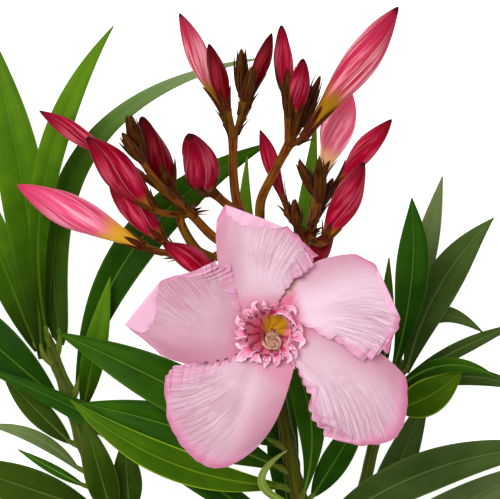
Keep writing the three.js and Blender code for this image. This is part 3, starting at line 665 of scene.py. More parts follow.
# A stem: its radius falls evenly along it and swells a little where each leaf leaves it.
def makeStem(name, stem):
    detail, length = stemDetail, lengthOf(stemPaths[name])
    share = shares(int(length / detail.step))
    even = radii = np.interp(share, [0, 1], stem.radii)
    for leaf in leaves.values():
        if leaf.on == name:
            gap = (share - leaf.along) * length / detail.swellLength
            radii = np.maximum(radii, even + detail.swelling * np.exp(-gap ** 2))
    radii = radii * (1 + detail.waver * smoothNoise(share * length, (0.6, 1.3), len(name)))
    points = atShares(stemPaths[name], share)
    if name == "main_stem":  # it starts at its flat cut
        kept = points[:, 1] > detail.cutEnd
        points, radii = np.vstack([[0, 0, 0], points[kept]]), np.append(cutRadius, radii[kept])
    if "shoot" in name:  # its foot runs on into the stem, where it widens
        foot = place(shootFoot)
        points, radii = np.vstack([foot, points]), np.append(radii[0], radii)
        away = np.linalg.norm(points - foot, axis=1) / detail.flareLength
        radii = radii + detail.flare * np.exp(-away ** 2)
    skin = stalkMaterials["green" if name == "flower_stalk" else "shoot"]
    makePiece(name + "_bark", [tubeAlong(points, radii, detail.around)], skin, [name])


for name, stem in stems.items():
    makeStem(name, stem)

# The cut face: rings of a flat disc, a hair outside the stem's own end.
discRadii = np.array([2.42, 2.42, 2.3, 2, 1.7, 1.3, 0.9, 0.5, 0.05])[:, None]
discLevels = np.array([0.3] + 8 * [-0.03])[:, None]
discRings = polar(discRadii, circle(40), discLevels)[..., [0, 2, 1]]
discSize = triple(discRadii, 0 * circle(40), 0)
makePiece("main_stem_cut", [tubeShell(discRings, discSize, discSize)], cutMaterial())
print("stems ready")

bladeDetail = Named(fold=14, thickness=0.42, edge=0.07, steps=60, columns=25, groove=0.2, rib=0.28,
                    ribWidth=0.4, curl=0.45, wave=0.05, gap=0.35, solidDepth=0.55)
leafStalkDetail = Named(back=2.2, into=0.045, steps=16, thick=0.55, perWidth=0.022, foot=1.35, end=0.45,
                        around=14)


# The midrib of a leaf: one bent curve from its root at the side of its shoot to its tip.
def midrib(leaf):
    shoot, radii = stemPaths[leaf.on], stems[leaf.on].radii
    before, root, after = atShares(shoot, leaf.along + np.array([-0.004, 0, 0.004]))
    run = unit(after - before)
    left = unit(np.cross([0, 0, 1], run))
    angle = np.radians(leaf.around)
    side = np.cross(run, left) * np.cos(angle) + left * np.sin(angle)
    out = np.interp(leaf.along, [0, 1], radii) + 2 * bladeDetail.solidDepth + bladeDetail.gap
    root, tip = root + side * out, place(leaf.tip)
    left = unit(np.array([root[1] - tip[1], tip[0] - root[0], 0]))
    return bendPath(root, (root + tip) / 2 + left * 2 * leaf.bow + [0, 0, 2 * leaf.arch], tip)


# Half-width of a blade, as a share of its widest: a narrow stalk, then a long lance.
def bladeWidth(t, belly):
    return 0.12 * (1 - t) + 0.97 * np.sin(np.pi * t ** (np.log(0.5) / np.log(belly))) ** 1.05


# A blade: x runs across it and far along it. It folds up along the midrib, its halves curl over to
# their edges, and a groove and a rib follow the midrib above and below.
def bladeShell(leaf, seed):
    detail, fold = bladeDetail, np.radians(bladeDetail.fold)
    t = shares(detail.steps) ** 0.9
    spine = atShares(midrib(leaf), t)
    length, run = lengthOf(spine), unit(np.gradient(spine, axis=0))
    side = unit(triple(run[:, 1], -run[:, 0], 0))
    up, side = np.cross(side, run)[:, None], side[:, None]
    s, far = np.linspace(-1, 1, detail.columns), t[:, None]
    x = s * (0.4 + 0.6 * s ** 2)
    away, wide = np.abs(x), 0.15 + bladeWidth(far, leaf.belly) * leaf.width / 2
    waves = np.where(x < 0, smoothNoise(far * length, (0.16, 0.33), seed),
                     smoothNoise(far * length, (0.17, 0.31), seed + 50))
    waves = waves * detail.wave * leaf.width * away ** 3 * np.sin(np.pi * far)
    rise = wide * np.sin(fold) * (away - detail.curl * away ** 3) + waves
    middle = spine[:, None] + side * (x * wide * np.cos(fold))[..., None] + up * rise[..., None]
    depth = (detail.edge + (detail.thickness - detail.edge) * (1 - away) ** 1.5) * (1 - 0.4 * far)
    onRib = np.exp(-(x * wide / detail.ribWidth) ** 2) * (1 - far)
    top = middle + up * (depth - detail.groove * onRib)[..., None]
    under = middle - up * (depth + detail.rib * onRib)[..., None]
    return sheetShell(top, under, x, far, triple(x * wide, far * length, seed))


# The short stalk of a leaf: from inside its shoot to just inside the blade's foot.
def leafStalk(leaf):
    detail, shoot = leafStalkDetail, stemPaths[leaf.on]
    start = atShares(shoot, [max(0, leaf.along - detail.back / lengthOf(shoot))])[0]
    path = atShares(bendPath(start, *atShares(midrib(leaf), [0, detail.into])), shares(detail.steps))
    thick = detail.thick + detail.perWidth * leaf.width
    radii = np.interp(shares(detail.steps), [0, 0.5, 1], [detail.foot * thick, thick, detail.end])
    return tubeAlong(path, radii, detail.around)


for seed, (name, leaf) in enumerate(leaves.items()):
    makePiece(name + "_blade", [bladeShell(leaf, seed)], leafMaterials[leaf.look], [name])
makePiece("leaf_stalks", [leafStalk(leaf) for leaf in leaves.values()], stalkMaterials["leafStalk"])
print("leaves ready:", len(leaves))

limbs = table("piece route", {
    "top_left": ("branch_top_left",
                 [[-11.6, 108.2, 32.6], [-13.5, 111.5, 33], [-14.4, 117.5, 34], [-14.5, 125, 36]]),
    "middle": ("branch_top_left", [[-12.8, 110, 32.8], [-15, 111, 35], [-18, 113.5, 37.5]]),
    "top": ("branch_top", [[-9, 108.2, 33], [-8.7, 112.5, 36.5], [-6.1, 118, 39.5], [-3.2, 123.5, 41]]),
    "left": ("branch_left", [[-13, 102.2, 30], [-18, 104.5, 31.5], [-23.5, 110, 35]]),
    "low_left": ("branch_left", [[-15, 103, 30.5], [-19, 100.5, 31], [-25, 101, 33]]),
    "cross_left": ("branch_left", [[-19, 100.6, 31], [-22, 102.3, 32], [-25.3, 109, 35], [-23.5, 110, 35]]),
    "right": ("branch_right", [[-7.2, 100, 29.2], [-4, 102.5, 31], [1, 105.5, 33]]),
})
buds = table("on foot heading lift length width belly calyx look", {
    "bud_1": ("top_left", [-16.5, 130.5, 36], 114, 13, 22.5, 4.6, 0.58, 7, "rose"),
    "bud_2": ("top_left", [-15.6, 131, 41.5], 106, 12, 13.9, 3.8, 0.5, 5, "dark"),
    "bud_3": ("top_left", [-11, 133.5, 38.5], 71, 10, 13.9, 3.4, 0.55, 6.5, "dark"),
    "bud_4": ("top", [0.2, 125.5, 42], 54, 11, 32.5, 7, 0.6, 9, "rose"),
    "bud_5": ("top", [-3.7, 134.5, 39.5], 94, 15, 13.9, 4, 0.42, 5.5, "crimson"),
    "bud_6": ("top", [-1.5, 129.5, 44.5], 84, 34, 13.5, 4.4, 0.5, 4.5, "crimson"),
    "bud_7": ("middle", [-19.8, 114.5, 39], 108, 46, 16.5, 7.2, 0.42, 5, "crimson"),
    "bud_8": ("left", [-27.6, 115.5, 35], 112, 14, 15.5, 5.5, 0.38, 5.5, "dark"),
    "bud_9": ("left", [-36.2, 119.5, 33], 148, 5, 21.5, 3.8, 0.62, 6.5, "coral"),
    "bud_10": ("left", [-31, 111, 39.5], 133, 16, 20, 7, 0.52, 4, "crimson"),
    "bud_11": ("low_left", [-33.5, 103.2, 31], 154, 9, 28.5, 7, 0.56, 4.5, "pale"),
    "bud_12": ("low_left", [-29, 104.5, 35.5], 134, 6, 15.5, 5.6, 0.5, 4.5, "crimson"),
    "bud_13": ("low_left", [-17, 97, 39], 151, 8, 13.5, 5, 0.5, 4, "crimson"),
    "bud_14": ("right", [-3.2, 110.2, 34.5], 109, 7, 17.8, 3.4, 0.64, 7, "crimson"),
    "bud_15": ("right", [4, 118, 27], 71, 14, 18.5, 7, 0.58, 4, "salmon"),
    "bud_16": ("right", [6.7, 115.5, 35], 50, 13, 18, 4.6, 0.56, 5.5, "crimson"),
    "bud_17": ("right", [4.5, 104.5, 41], 64, 17, 18, 5.9, 0.5, 4.5, "crimson"),
    "bud_18": ("right", [-0.5, 97.5, 33], 52, 12, 11, 4.6, 0.5, 4, "dark"),
})
closedBuds = listed("on foot heading lift length width", [
    ("top_left", [-12.6, 134, 40.5], 91, 16, 9.5, 2.6),
    ("top_left", [-12, 133, 43.5], 76, 24, 7.4, 2.2),
    ("top", [-3.2, 129.5, 46], 90, 20, 9, 2.2),
    ("top", [-0.4, 128, 40], 69, 14, 10.7, 2.2),
    ("left", [-33.4, 121.5, 42], 104, 25, 9, 2.8),
    ("left", [-33.1, 120.5, 44], 125, 23, 7.2, 2.4),
    ("right", [2.7, 113.3, 38], 118, 20, 8.6, 2.4),
    ("right", [3.2, 112.5, 40], 91, 25, 9.3, 2.6),
    ("right", [3.6, 111.4, 37], 67, 20, 6.4, 2),
    ("right", [-1.4, 107.1, 39], 97, 20, 5.8, 2.4),
])
budDetail = Named(lobes=5, twist=70, step=0.1, rows=64, perLobe=14, solidBud=14, dent=0.06, bow=0.02)
closedDetail = Named(belly=0.4, calyx=0.95, rows=16, around=14, flare=0.55)
for bud in closedBuds:
    bud.belly = closedDetail.belly
scaleDetail = Named(rows=14, thick=0.14, lift=0.14, low=-0.6, cup=-0.32)
stalkDetail = Named(limb=[1.05, 0.9, 1.05], bud=0.72, closed=0.5, bractLength=4.6, bractWidth=1.2,
                    bractFlare=0.9, limbBracts=(0, 1.3, 2.5, 3.8, 5))


# Radius of a bud, as a share of its widest: it swells to its belly and draws out to its tip, and the
# further out the belly, the narrower the neck. The very tip is blunt.
def budRadius(t, belly):
    t = np.clip(t, 0, 1)
    stretched = t ** (np.log(0.4545) / np.log(belly))
    blunt = 0.07 * blend(0.7, 0.95, t) * np.sqrt(1 - t ** 40)
    return np.sin(np.pi * (0.1 + 0.88 * stretched)) ** (2 * belly) + blunt


def girth(bud, level):  # radius of a bud at a height above its foot
    return budRadius(level / bud.length, bud.belly) * bud.width / 2


def stance(bud):  # where a bud stands and the way it points
    return place(bud.foot), pointing(bud.heading, bud.lift)


def standing(points, foot, way):  # carries points that stand on +Z from the origin to foot, along way
    side = unit(np.cross([0, 1, 0] if abs(way[1]) < 0.9 else [1, 0, 0], way))
    return foot + points @ np.stack([side, np.cross(way, side), way])


# A bud: five lobes rolled round each other. Their edges climb as a slow screw, and each lobe stands
# a step higher at the edge that lies over the next.
def budShell(bud, seed):
    detail, t = budDetail, shares(budDetail.rows)[:, None]
    lobe = np.repeat(np.arange(detail.lobes), detail.perLobe)
    s = np.tile(shares(detail.perLobe), detail.lobes)
    turn = 2 * np.pi * (lobe + s) / detail.lobes + np.radians(detail.twist) * t + seed
    step = detail.step * blend(0.15, 0.45, t) * (s - 0.45)
    dent = detail.dent * np.sin(np.pi * s) * blend(0.1, 0.4, t)
    level = t * bud.length
    radius = girth(bud, level) * (1 + step - dent)
    shape = polar(radius, turn, level)
    shape[..., 0] += detail.bow * bud.length * np.sin(np.pi * t) * np.sin(2.4 * seed)
    return tubeShell(standing(shape, *stance(bud)), triple(s, lobe + seed, t), triple(radius, level, 0))


# A pointed scale that clings to a round body: bearing is its place round the body, radiusAt gives the
# body's radius at a height, and flare is how far its tip leans out.
def scaleShell(radiusAt, high, bearing, width, flare, foot, way):
    detail, t = scaleDetail, shares(scaleDetail.rows)
    level = detail.low + (high - detail.low) * t
    path = polar(radiusAt(np.maximum(level, 0)) + detail.lift + flare * t ** 2.5, bearing, level)
    side = np.tile([-np.sin(bearing), np.cos(bearing), 0], (len(t), 1))
    up = np.cross(side, unit(np.gradient(path, axis=0)))
    up = up * np.sign(up @ [np.cos(bearing), np.sin(bearing), 0])[:, None]
    half = 0.03 + width / 2 * (1 - t) ** 0.85 * (0.75 + 0.8 * t)
    shell = strapAlong(path, side, up, half, detail.thick * (1 - 0.6 * t), cup=detail.cup)
    shell["points"] = standing(shell["points"], foot, way)
    return shell


# A calyx: five sepals round the foot of a bud.
def calyxShells(radiusAt, height, foot, way, seed, flare=0.35):
    draw = np.random.default_rng(seed)
    wide = 2 * np.pi * (radiusAt(np.array([0.25 * height]))[0] + 0.2) / 5 * 1.1
    shells = []
    for k in range(5):
        top = height * draw.uniform(0.8, 1.1)
        lean = flare * draw.uniform(0.2, 1.8)
        shells.append(scaleShell(radiusAt, top, 2 * np.pi * k / 5 + seed, wide, lean, foot, way))
    return shells


# A closed bud: a spindle wrapped in five sepals whose tips part near its point.
def closedBudShells(bud, seed):
    t, turn = shares(closedDetail.rows)[:, None], circle(closedDetail.around)
    level, mark = t * bud.length, polar(1, turn, t)
    core = tubeShell(standing(polar(girth(bud, level), turn, level), *stance(bud)), mark, mark)
    height = closedDetail.calyx * bud.length
    return [core] + calyxShells(lambda at: girth(bud, at), height, *stance(bud), seed, closedDetail.flare)


# The stalk that carries a bud, from the fork into the foot of its calyx, where it widens.
def budStalk(fork, bud, thick):
    foot, way = stance(bud)
    end = foot + 0.3 * way
    path = atShares(bendPath(fork, end - 0.4 * np.linalg.norm(end - fork) * way, end), shares(20))
    widest = max(1, (girth(bud, 0.02 * bud.length) + 0.2) / thick)
    radii = thick * np.interp(shares(20), [0, 0.3, 0.8, 1], [1.15, 0.95, 0.95, widest])
    return path, tubeAlong(path, radii, 16)


# A bract: a small dark scale beside a stalk's foot, leaning out from it.
def bractShell(path, share, turn, size):
    foot, ahead = atShares(path, [share, min(1, share + 0.05)])
    detail, radiusAt = stalkDetail, lambda level: stalkDetail.bud + 0 * level
    length, width, flare = detail.bractLength * size, detail.bractWidth, detail.bractFlare
    return scaleShell(radiusAt, length, turn, width, flare, foot, unit(ahead - foot))


branchStalks, bracts = {}, []
draw = np.random.default_rng(7)
for name, limb in limbs.items():
    path = atShares(splinePath(limb.route), shares(30))
    shells = branchStalks.setdefault(limb.piece, [])
    shells.append(tubeAlong(path, np.interp(shares(30), [0, 0.85, 1], stalkDetail.limb), 18))
    for turn in stalkDetail.limbBracts:
        bracts.append(bractShell(path, 0.93, turn, draw.uniform(0.7, 1.1)))
    for bud in [*buds.values(), *closedBuds]:
        if bud.on == name:
            thick, spots = stalkDetail.bud, (0.2, 0.5, 0.8)
            if bud in closedBuds:
                thick, spots = stalkDetail.closed, (0.35, 0.7)
            budPath, shell = budStalk(path[-1], bud, thick)
            shells.append(shell)
            for spot in spots:
                bracts.append(bractShell(budPath, spot, draw.uniform(0, 6.28), draw.uniform(0.5, 0.95)))
for name, shells in branchStalks.items():
    makePiece(name + "_stalks", shells, stalkMaterials["stalk"], [name])
makePiece("bracts", bracts, stalkMaterials["sepal"])

sepals, small = [], []
for seed, (name, bud) in enumerate(buds.items()):
    replaced = [name] if bud.length >= budDetail.solidBud else []
    makePiece(name + "_lobes", [budShell(bud, seed)], budMaterials[bud.look], replaced)
    sepals += calyxShells(lambda level: girth(bud, level), bud.calyx, *stance(bud), seed)
for seed, bud in enumerate(closedBuds):
    small += closedBudShells(bud, seed)
makePiece("bud_sepals", sepals, stalkMaterials["sepal"])
makePiece("closed_buds", small, stalkMaterials["brown"])
print("flower head ready:", len(buds), "buds")

bloom = Named(centre=[-7.4, 85.5, 56], throat=6.4, wall=0.7, tubeLength=19, tubeRadius=2.2)
bloomCentre = place(bloom.centre)

# left and right are the half-widths on the smooth and on the frilled side, and rim is how far the
# edge reaches from the throat, from the right side to the left. early and late are how wide the
# smooth and the frilled side start and how soon they are fully wide. tone is how deep the colour is,
# painted shade on the darker petals, and frill how ruffled the edge. keel is where a lengthwise ridge
# starts and ends across, and its height. A notch bites into the frilled edge at a distance out, to a
# depth. A fold turns the rim back over the petal: its line lies far out along the direction way, it
# starts at a place across, and its bend has the given radius.
petals = table("heading left right lift tone frill rim early late keel notch fold", {
    "petal_1": (92, 10.2, 10.9, 1.4, 0.5, 0.9, [15.6, 21, 25.6, 27.8, 23], [0.8, 0.7], [0.24, 0.92],
                [0.3, 0.1, 0.25], None, [[0.919, -0.393], 20.5, -6, 0.42]),
    "petal_2": (168, 9.4, 11.5, 0.6, 0.9, 1.2, [15, 24.6, 31.4, 28.2, 20.2], [0.74, 1.35], [0.3, 1.9],
                [0.5, 0.68, 0.45], None, [[0.888, -0.459], 22.8, -12, 0.4]),
    "petal_3": (239, 10.5, 14, 0, 0.55, 0.45, [18, 26.5, 29, 28.6, 21.5], [0.76, 1.3], [0.24, 1],
                [0.1, 0.55, -0.5], None, None),
    "petal_4": (322, 11, 8.6, -0.6, 0.45, 1.2, [24.5, 31, 33, 31.4, 27.2], [0.6, 1.2], [0.12, 1.3],
                [0.2, 0.35, 0.3], [14.2, 2], None),
    "petal_5": (375, 11.7, 10.1, 1, 0, 1, [22, 26, 27.6, 26.2, 21], [0.72, 1.35], [0, 1.25],
                [0.1, -0.1, -0.3], [13.4, 1],
                [[0.987, 0.159], 24.9, -7, 0.4]),
})


# How far a petal reaches at v, from -1 on its right to 1 on its left: the smooth curve through the
# evenly spaced values of its rim.
def rimAt(rim, v):
    places, total = np.linspace(-1, 1, len(rim)), 0 * v
    for reach, here in zip(rim, places):
        others = places[places != here]
        total = total + reach * np.prod([(v - other) / (here - other) for other in others], axis=0)
    return total


# Half-width of a petal along it, as a share of its widest: the smooth left side starts wide, the
# frilled right side opens late, and both draw in a little at the rim.
def petalSpread(u, v, early, late):
    swell = lambda share: early[0] + (1 - early[0]) * np.sin(np.pi * 0.5 * np.minimum(1, early[1] * share))
    right = late[0] + (1 - late[0]) * np.sin(np.pi * 0.5 * np.minimum(1, late[1] * u)) ** 2
    return np.where(v > 0, swell(u) / swell(1), right) - 0.08 * u ** 6


# Turns what lies beyond a straight line back over the petal: beyond the line, distance becomes arc
# length round a bend, and past half a turn it runs back the way it came, two radii higher.
def foldBack(out, across, height, fold):
    (x, y), far, start, radius = fold
    beyond = np.maximum(out * x + across * y - far - 4 * blend(start + 2, start, across), 0)
    bend, back = np.minimum(beyond / radius, np.pi), np.maximum(beyond - np.pi * radius, 0)
    moved = radius * np.sin(bend) - back - beyond
    return out + moved * x, across + moved * y, height + radius * (1 - np.cos(bend)) + 0.1 * back


# A petal: u runs outwards from the throat and v across. To the fan of the solid it adds scallops
# along the rim, pleats that follow the veins and grow into ruffles on the frilled side, a lengthwise
# ridge, soft swellings, and a rim that is folded back.
def petalShell(petal, seed):
    detail, frill = petalDetail, petal.frill
    u = np.linspace(detail.claw, 1, detail.rows)[:, None]
    u = np.where(u > 0, np.abs(u) ** 0.85, u)
    grown = np.maximum(u, 0)
    v = np.sin(np.linspace(-1, 1, detail.columns) * 1.35)[None, :] / np.sin(1.35)
    frilled, frayed = blend(0.15, 1, -v), blend(0.55, 1, -v)
    inner = (bloom.throat - bloom.wall) * (1 - 0.45 * np.maximum(v, 0) ** 2)  # round the mouth
    reach = rimAt(petal.rim, v) + detail.scallop * smoothNoise(v, (9, 17, 31), seed) * (0.4 + frilled)
    distance = out = inner + u * (reach - inner)
    spread = petalSpread(grown, v, petal.early, petal.late)
    half = spread * np.where(v > 0, petal.left, petal.right)
    edgeLine = 20 * grown - 6 * v  # millimetres along the frilled edge and round the corner of the rim
    crimps = smoothNoise(edgeLine, (0.8, 1.7, 2.9), seed + 20)
    across = v * half + detail.crimp * frill * frayed * grown ** 0.5 * crimps
    if petal.notch:
        where, depth = petal.notch
        across = across + depth * np.exp(-((out - where) / 1.1) ** 2) * frayed
    fan = np.arctan2(v * half, out - 3) + detail.bend * np.hypot(out - 3, v * half)
    start, end, ridge = petal.keel
    keel = np.exp(-((v - start - (end - start) * grown) / 0.16) ** 2) * np.sin(np.pi * grown ** 0.8)
    ruffle = 0.35 * smoothNoise(fan, (58, 95), seed + 40) + smoothNoise(fan, (13, 24), seed + 45)
    curls = smoothNoise(edgeLine, (1.5, 2.6, 4.2), seed + 50)
    height = (2.2 * u - 3.4 * grown ** 3 - 1.3 * v * u + petal.lift * u
              + detail.ruffle * frill * grown ** 1.5 * frilled ** 2.5 * ruffle
              + detail.edge * frill * frayed ** 1.5 * grown ** 0.5 * curls
              + detail.wavyRim * grown ** 6 * smoothNoise(v, (7, 13, 23), seed + 60)
              + detail.pleat * blend(0.1, 0.6, grown) * smoothNoise(fan, (60, 95), seed + 80)
              + detail.swell * np.sin(np.pi * grown) * smoothNoise(v + 0.5 * grown, (2.5, 4.5), seed + 90)
              + ridge * keel - detail.smoothDrop * blend(0.7, 1, v) * grown + 6 * np.minimum(u, 0))
    if petal.fold:
        out, across, height = foldBack(out, across, height, petal.fold)
    cos, sin = np.cos(np.radians(petal.heading)), np.sin(np.radians(petal.heading))
    middle = bloomCentre + triple(out * cos - across * sin, out * sin + across * cos, height)
    normal = unit(np.cross(np.gradient(middle, axis=0), np.gradient(middle, axis=1)))
    thinned = 1 - 0.75 * np.maximum(grown ** 8, np.abs(v) ** 10)
    thick = normal * detail.thickness / 2 * thinned[..., None]
    return sheetShell(middle + thick, middle - thick, v, grown, triple(half * v, distance, petal.tone))


petalSkin = petalMaterial()
for seed, (name, petal) in enumerate(petals.items()):
    makePiece(name, [petalShell(petal, seed)], petalSkin)


# The funnel under the petals: one closed profile turned round the bloom's axis. Its measures are the
# radius, the level from the mouth, and 1 on its inside wall or 0 on its outside.
def tubeOfBloom():
    foot, length = bloom.tubeRadius, bloom.tubeLength
    outer = [[0.6 * foot, -length], [foot, 0.3 - length], [foot + 0.3, -0.6 * length], [5, -0.3 * length],
             [6, -2.2], [6.9, -1.6], [7.2, -1.2]]
    inner = [[7.2, -1.1], [6.9, -0.9], [6, -0.3], [5.6, -0.2], [4.9, -0.9], [4, -2], [2.9, -3.4],
             [1.6, -4.7], [0.3, -5.6]]
    profile = np.vstack([atShares(np.array(part), shares(40)) for part in (outer, inner)])
    turn, level = circle(80), profile[:, 1:]
    radius = profile[:, :1] * (1 + 0.03 * np.cos(5 * turn))
    measure = triple(radius, level, np.repeat([0, 1], 40)[:, None])
    return tubeShell(bloomCentre + polar(radius, turn, level), polar(1, turn, 1 + level / length), measure)


makePiece("bloom_tube", [tubeOfBloom()], throatMaterial(), ["corolla"])
tubeFoot = bloomCentre - [0, 0, bloom.tubeLength + 0.5]
bloomSepals = calyxShells(lambda level: bloom.tubeRadius + 0 * level, 6, tubeFoot, np.array([0, 0, 1]), 3)
makePiece("bloom_sepals", bloomSepals, stalkMaterials["sepal"])
stalkFoot = bloom.centre[2] - bloom.tubeLength - 0.6
x, y, _ = bloom.centre
route = [[-9.4, 95.5, 29.2], [-9, 91, 31], [x, y + 1, stalkFoot - 3], [x, y, stalkFoot + 0.4]]
stalkShell = tubeAlong(atShares(splinePath(route), shares(30)), np.linspace(1.1, 1.5, 30))
makePiece("bloom_stalk_skin", [stalkShell], stalkMaterials["green"], ["bloom_stalk"])

# Ribbons of the fringe, from the bloom's centre: each follows a curve through its points, and its
# face is rolled by turns of a half circle from its foot to its tip.
ribbons = listed("route width roll", [
    ([[-0.9, 3.8, -1.6], [-1.7, 4.9, 0.9], [-0.9, 5.6, 1.9], [0.5, 5, 1.5]], 2, 0.2),
    ([[0.6, 4, -1.2], [1.6, 4.9, 1.2], [3.9, 4.1, 2], [6.3, 0.9, 1.5]], 1.8, 0.15),
    ([[2.6, 4.2, -1.2], [3.5, 5.1, 0.8], [4.9, 5, 1.4], [5.6, 3.8, 1.2]], 1.6, -0.2),
    ([[4.2, 2, -1.4], [5.4, 2.2, 0.8], [6.7, 1.2, 1.5], [7, -0.4, 1.2]], 2, 0.2),
    ([[4.6, 0, -1.4], [5.7, -0.6, 1], [6.9, -1.6, 1.4], [6.2, -2.9, 1.6]], 2.1, -0.2),
    ([[3.9, -1.6, -1.2], [5.2, -2.7, 1.2], [5.8, -4.2, 1.5], [5, -5.2, 1.2]], 2, 0.25),
    ([[2.8, -2.8, -0.8], [3.6, -4, 1.4], [4.4, -5, 1.5], [3.7, -5.8, 1.2]], 1.8, -0.25),
    ([[1.7, -4, -0.4], [1.8, -4.8, 1.5], [2, -5.8, 1.3], [1.5, -6.7, 0.8]], 1.7, 0.15),
    ([[-0.2, -4.2, -0.4], [-0.2, -4.9, 1.5], [-0.3, -5.8, 1.3], [-0.8, -6.8, 0.8]], 1.9, -0.1),
    ([[-2, -3.6, -0.2], [-2.5, -4.2, 1.4], [-2.3, -5, 1.6], [-1.3, -5.8, 1.3]], 2, 0.25),
    ([[-3.2, -2.6, 0.2], [-3.9, -3.2, 1.5], [-4.9, -4.1, 1.5], [-6.4, -5.5, 0.8]], 2.9, 0.05),
    ([[-4.1, -1.2, -0.2], [-4.7, -1.6, 1.5], [-5.6, -2.4, 1.6], [-6.5, -2, 1.2]], 2.3, -0.2),
    ([[-4.4, 0.4, -0.2], [-5, 0.3, 1.4], [-6.1, -0.3, 1.6], [-6.7, 0.9, 1.3]], 2.2, 0.2),
    ([[-4.1, 1.9, -0.2], [-4.9, 2.1, 1.3], [-6, 2.3, 1.5], [-6.2, 3.6, 1.1]], 2.1, -0.25),
    ([[-3.5, 3.2, -0.6], [-4.2, 3.9, 1.2], [-5, 4.7, 1.5], [-4.5, 5.5, 1.3]], 1.9, 0.2),
    ([[-2, 3.4, -1.2], [-2.7, 4.6, 1.2], [-2.9, 5.8, 1.4], [-2, 6.2, 1.2]], 1.8, -0.2),
    ([[4.4, -4.6, 0.8], [4.9, -5.6, 1.2], [5.2, -6.3, 0.9], [5.5, -7, 0.4]], 0.35, 0),
])
fringeDetail = Named(steps=34, depth=0.08, cup=0.45, tear=0.32, height=1, shreds=34)


# A ribbon: a strap along its curve whose edges waver, rolled further the nearer to its tip.
def ribbonShell(ribbon, seed):
    detail, t = fringeDetail, shares(fringeDetail.steps)
    path = atShares(splinePath(np.array(ribbon.route) + [0, 0, cutRadius], 20), t)
    run, centre = unit(np.gradient(path, axis=0)), unit(path * [1, 1, 0])
    up = unit(np.cross(run, np.cross([0, 0, 1] - 0.6 * centre, run)))
    side = np.cross(up, run)
    tilt = (np.pi * ribbon.roll * t ** 1.3)[:, None]
    side, up = side * np.cos(tilt) + up * np.sin(tilt), up * np.cos(tilt) - side * np.sin(tilt)
    half = 0.04 + ribbon.width / 2 * (1 - 0.9 * t ** 2.2) * (0.75 + 0.25 * np.sin(np.pi * t))
    half = half * (1 + detail.tear * smoothNoise(t, (7, 15, 31), seed))
    path = bloomCentre + path + side * (0.25 * t * smoothNoise(t, (5, 9), seed + 30))[:, None]
    return strapAlong(path, side, up, half, detail.depth * (1 - 0.6 * t), detail.cup, 9, seed)


# The collar that the ribbons are torn from: a thin wavy wall inside the mouth of the throat, whose
# section is a closed loop carried round.
def collarShell():
    turn, t = circle(120), shares(10)[:, None]
    loop = np.concatenate([t, t[::-1]])
    wave = 0.16 * np.sin(15 * turn) + 0.12 * np.sin(24 * turn + 1)
    radius = 5 + 0.7 * loop ** 2 + np.repeat([0.12, -0.12], 10)[:, None] + wave * loop
    level = 0.3 - fringeDetail.height * (1 - loop) + 0.35 * np.sin(5 * turn + 1) * loop
    points, mark = bloomCentre + polar(radius, turn, level), triple(0 * radius, 0.5 * loop, 1)
    faces = gridFaces(np.pad(gridOf(points), ((0, 1), (0, 1)), mode="wrap"))
    return shellOf([points], [faces], [mark], [mark])


# A shred: a small ribbon at a bearing of its own, with a drawn length, slant, width and roll.
def shred(number):
    draw = np.random.default_rng(number + 500)
    bearing = 2 * np.pi * (number + draw.uniform(-0.4, 0.4)) / fringeDetail.shreds
    reach, slant, rise = draw.uniform(5.6, 6.9), draw.uniform(-0.22, 0.22), draw.uniform(0.9, 2.1)
    radius, share = np.array([4.7, 5.1, 0.4 * reach + 3.1, reach]), np.array([0, 0.3, 0.7, 1])
    route = polar(radius, bearing + slant * share, [-0.2, 0.8 * rise, rise, 0.7 * rise])
    return Named(route=route, width=draw.uniform(0.5, 1.3), roll=draw.uniform(-0.4, 0.4))


allRibbons = ribbons + [shred(number) for number in range(fringeDetail.shreds)]
fringe = [ribbonShell(ribbon, seed) for seed, ribbon in enumerate(allRibbons)]
makePiece("fringe_ribbons", fringe + [collarShell()], fringeMaterial(), ["throat_fringe"])

stamens = Named(threads=3, foot=-5.4, rim=-0.9, top=0.9, radius=1.8, turns=0.7, lean=[0.9, -1.8, 0],
                hairs=6)


# The stamens' feathery tips: thick threads that climb out of the throat and wind into a spiral, which
# rises a little towards its middle.
def stamenThread(start):
    t = shares(120)
    curl, risen = blend(0.3, 1, t), blend(0, 0.3, t)
    turn = start + 0.8 * t + 2 * np.pi * stamens.turns * curl
    radius = stamens.radius * (0.6 + 0.4 * risen) * (1 - 0.86 * curl)
    radius = radius * (1 + 0.16 * smoothNoise(turn, (1.4, 2.6), int(7 * start)))
    level = np.interp(t, [0, 0.3, 1], [stamens.foot, stamens.rim, stamens.top])
    path = bloomCentre + polar(radius, turn, level) + np.outer(risen, stamens.lean)
    return tubeAlong(path, 0.34 - 0.12 * t + 0.07 * smoothNoise(t, (19, 37), int(10 * start)), 12)


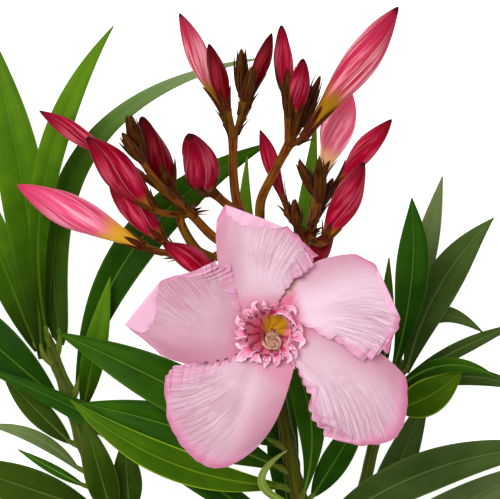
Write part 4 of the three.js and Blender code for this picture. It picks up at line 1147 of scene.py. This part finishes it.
# Loose hairs above the tuft: thin bent threads that lean towards the open side of the throat.
def stamenHair(seed):
    draw = np.random.default_rng(seed)
    start = np.array([*stamens.lean[:2], stamens.top - 1.2]) + draw.uniform(-0.8, 0.8, 3) * [1, 1, 0.5]
    end = start + [draw.uniform(-1, 1), draw.uniform(1.4, 3.2), draw.uniform(0.2, 1.2)]
    path = bendPath(start, (start + end) / 2 + [draw.uniform(-0.5, 0.5), 0, 0.7], end)
    return tubeAlong(bloomCentre + atShares(path, shares(24)), np.linspace(0.14, 0.06, 24), 8)


threads = [stamenThread(2.8 + 2 * np.pi * k / stamens.threads) for k in range(stamens.threads)]
hairs = [stamenHair(seed) for seed in range(stamens.hairs)]
makePiece("stamen_threads", threads + hairs, stamenMaterial(), ["stamen_cone"])
print("bloom ready")

ground = Named(size=3, level=-2.75 * mm, colour=(0.85, 0.85, 0.85), glow=0.8)
mesh = bpy.data.meshes.new("surface")
edge = ground.size
corners = [(x, y, ground.level) for x, y in ((-edge, -edge), (edge, -edge), (edge, edge), (-edge, edge))]
mesh.from_pydata(corners, [], [(0, 1, 2, 3)])
surface = bpy.data.objects.new("surface", mesh)
bpy.context.scene.collection.objects.link(surface)
mesh.materials.append(newMaterial("pale_surface", {
    "Roughness": 0.8, "Base Color": ground.colour, "Emission Color": (1, 1, 1),
    "Emission Strength": ground.glow})[0])

lights = table("at size power", {
    "key": ((-0.34, 0.3, 0.9), 0.6, 8),
    "fill": ((0.45, -0.1, 0.95), 0.9, 2.5),
})
aim = np.array([-0.01, 0.09, 0.02])
for name, light in lights.items():
    data = bpy.data.lights.new(name, "AREA")
    data.shape, data.size, data.energy = "DISK", light.size, light.power
    lamp = bpy.data.objects.new(name, data)
    bpy.context.scene.collection.objects.link(lamp)
    lamp.location = light.at
    lamp.rotation_euler = Vector(aim - light.at).to_track_quat("-Z", "Y").to_euler()

world = bpy.data.worlds.new("studio")
world.use_nodes = True
for label, value in (("Color", (1, 1, 1)), ("Strength", 0.34)):
    give(value, world.node_tree.nodes["Background"].inputs[label])
scene = bpy.context.scene
scene.world = world
scene.view_settings.view_transform = "Standard"

camera = Named(at=(-0.011, 0.1023, 0.7525), lens=252, sensor=36, near=0.01)
data = bpy.data.cameras.new("camera")
data.lens, data.sensor_width, data.clip_start = camera.lens, camera.sensor, camera.near
eye = bpy.data.objects.new("camera", data)
eye.location = camera.at
scene.collection.objects.link(eye)
scene.camera = eye
print("light and camera ready")
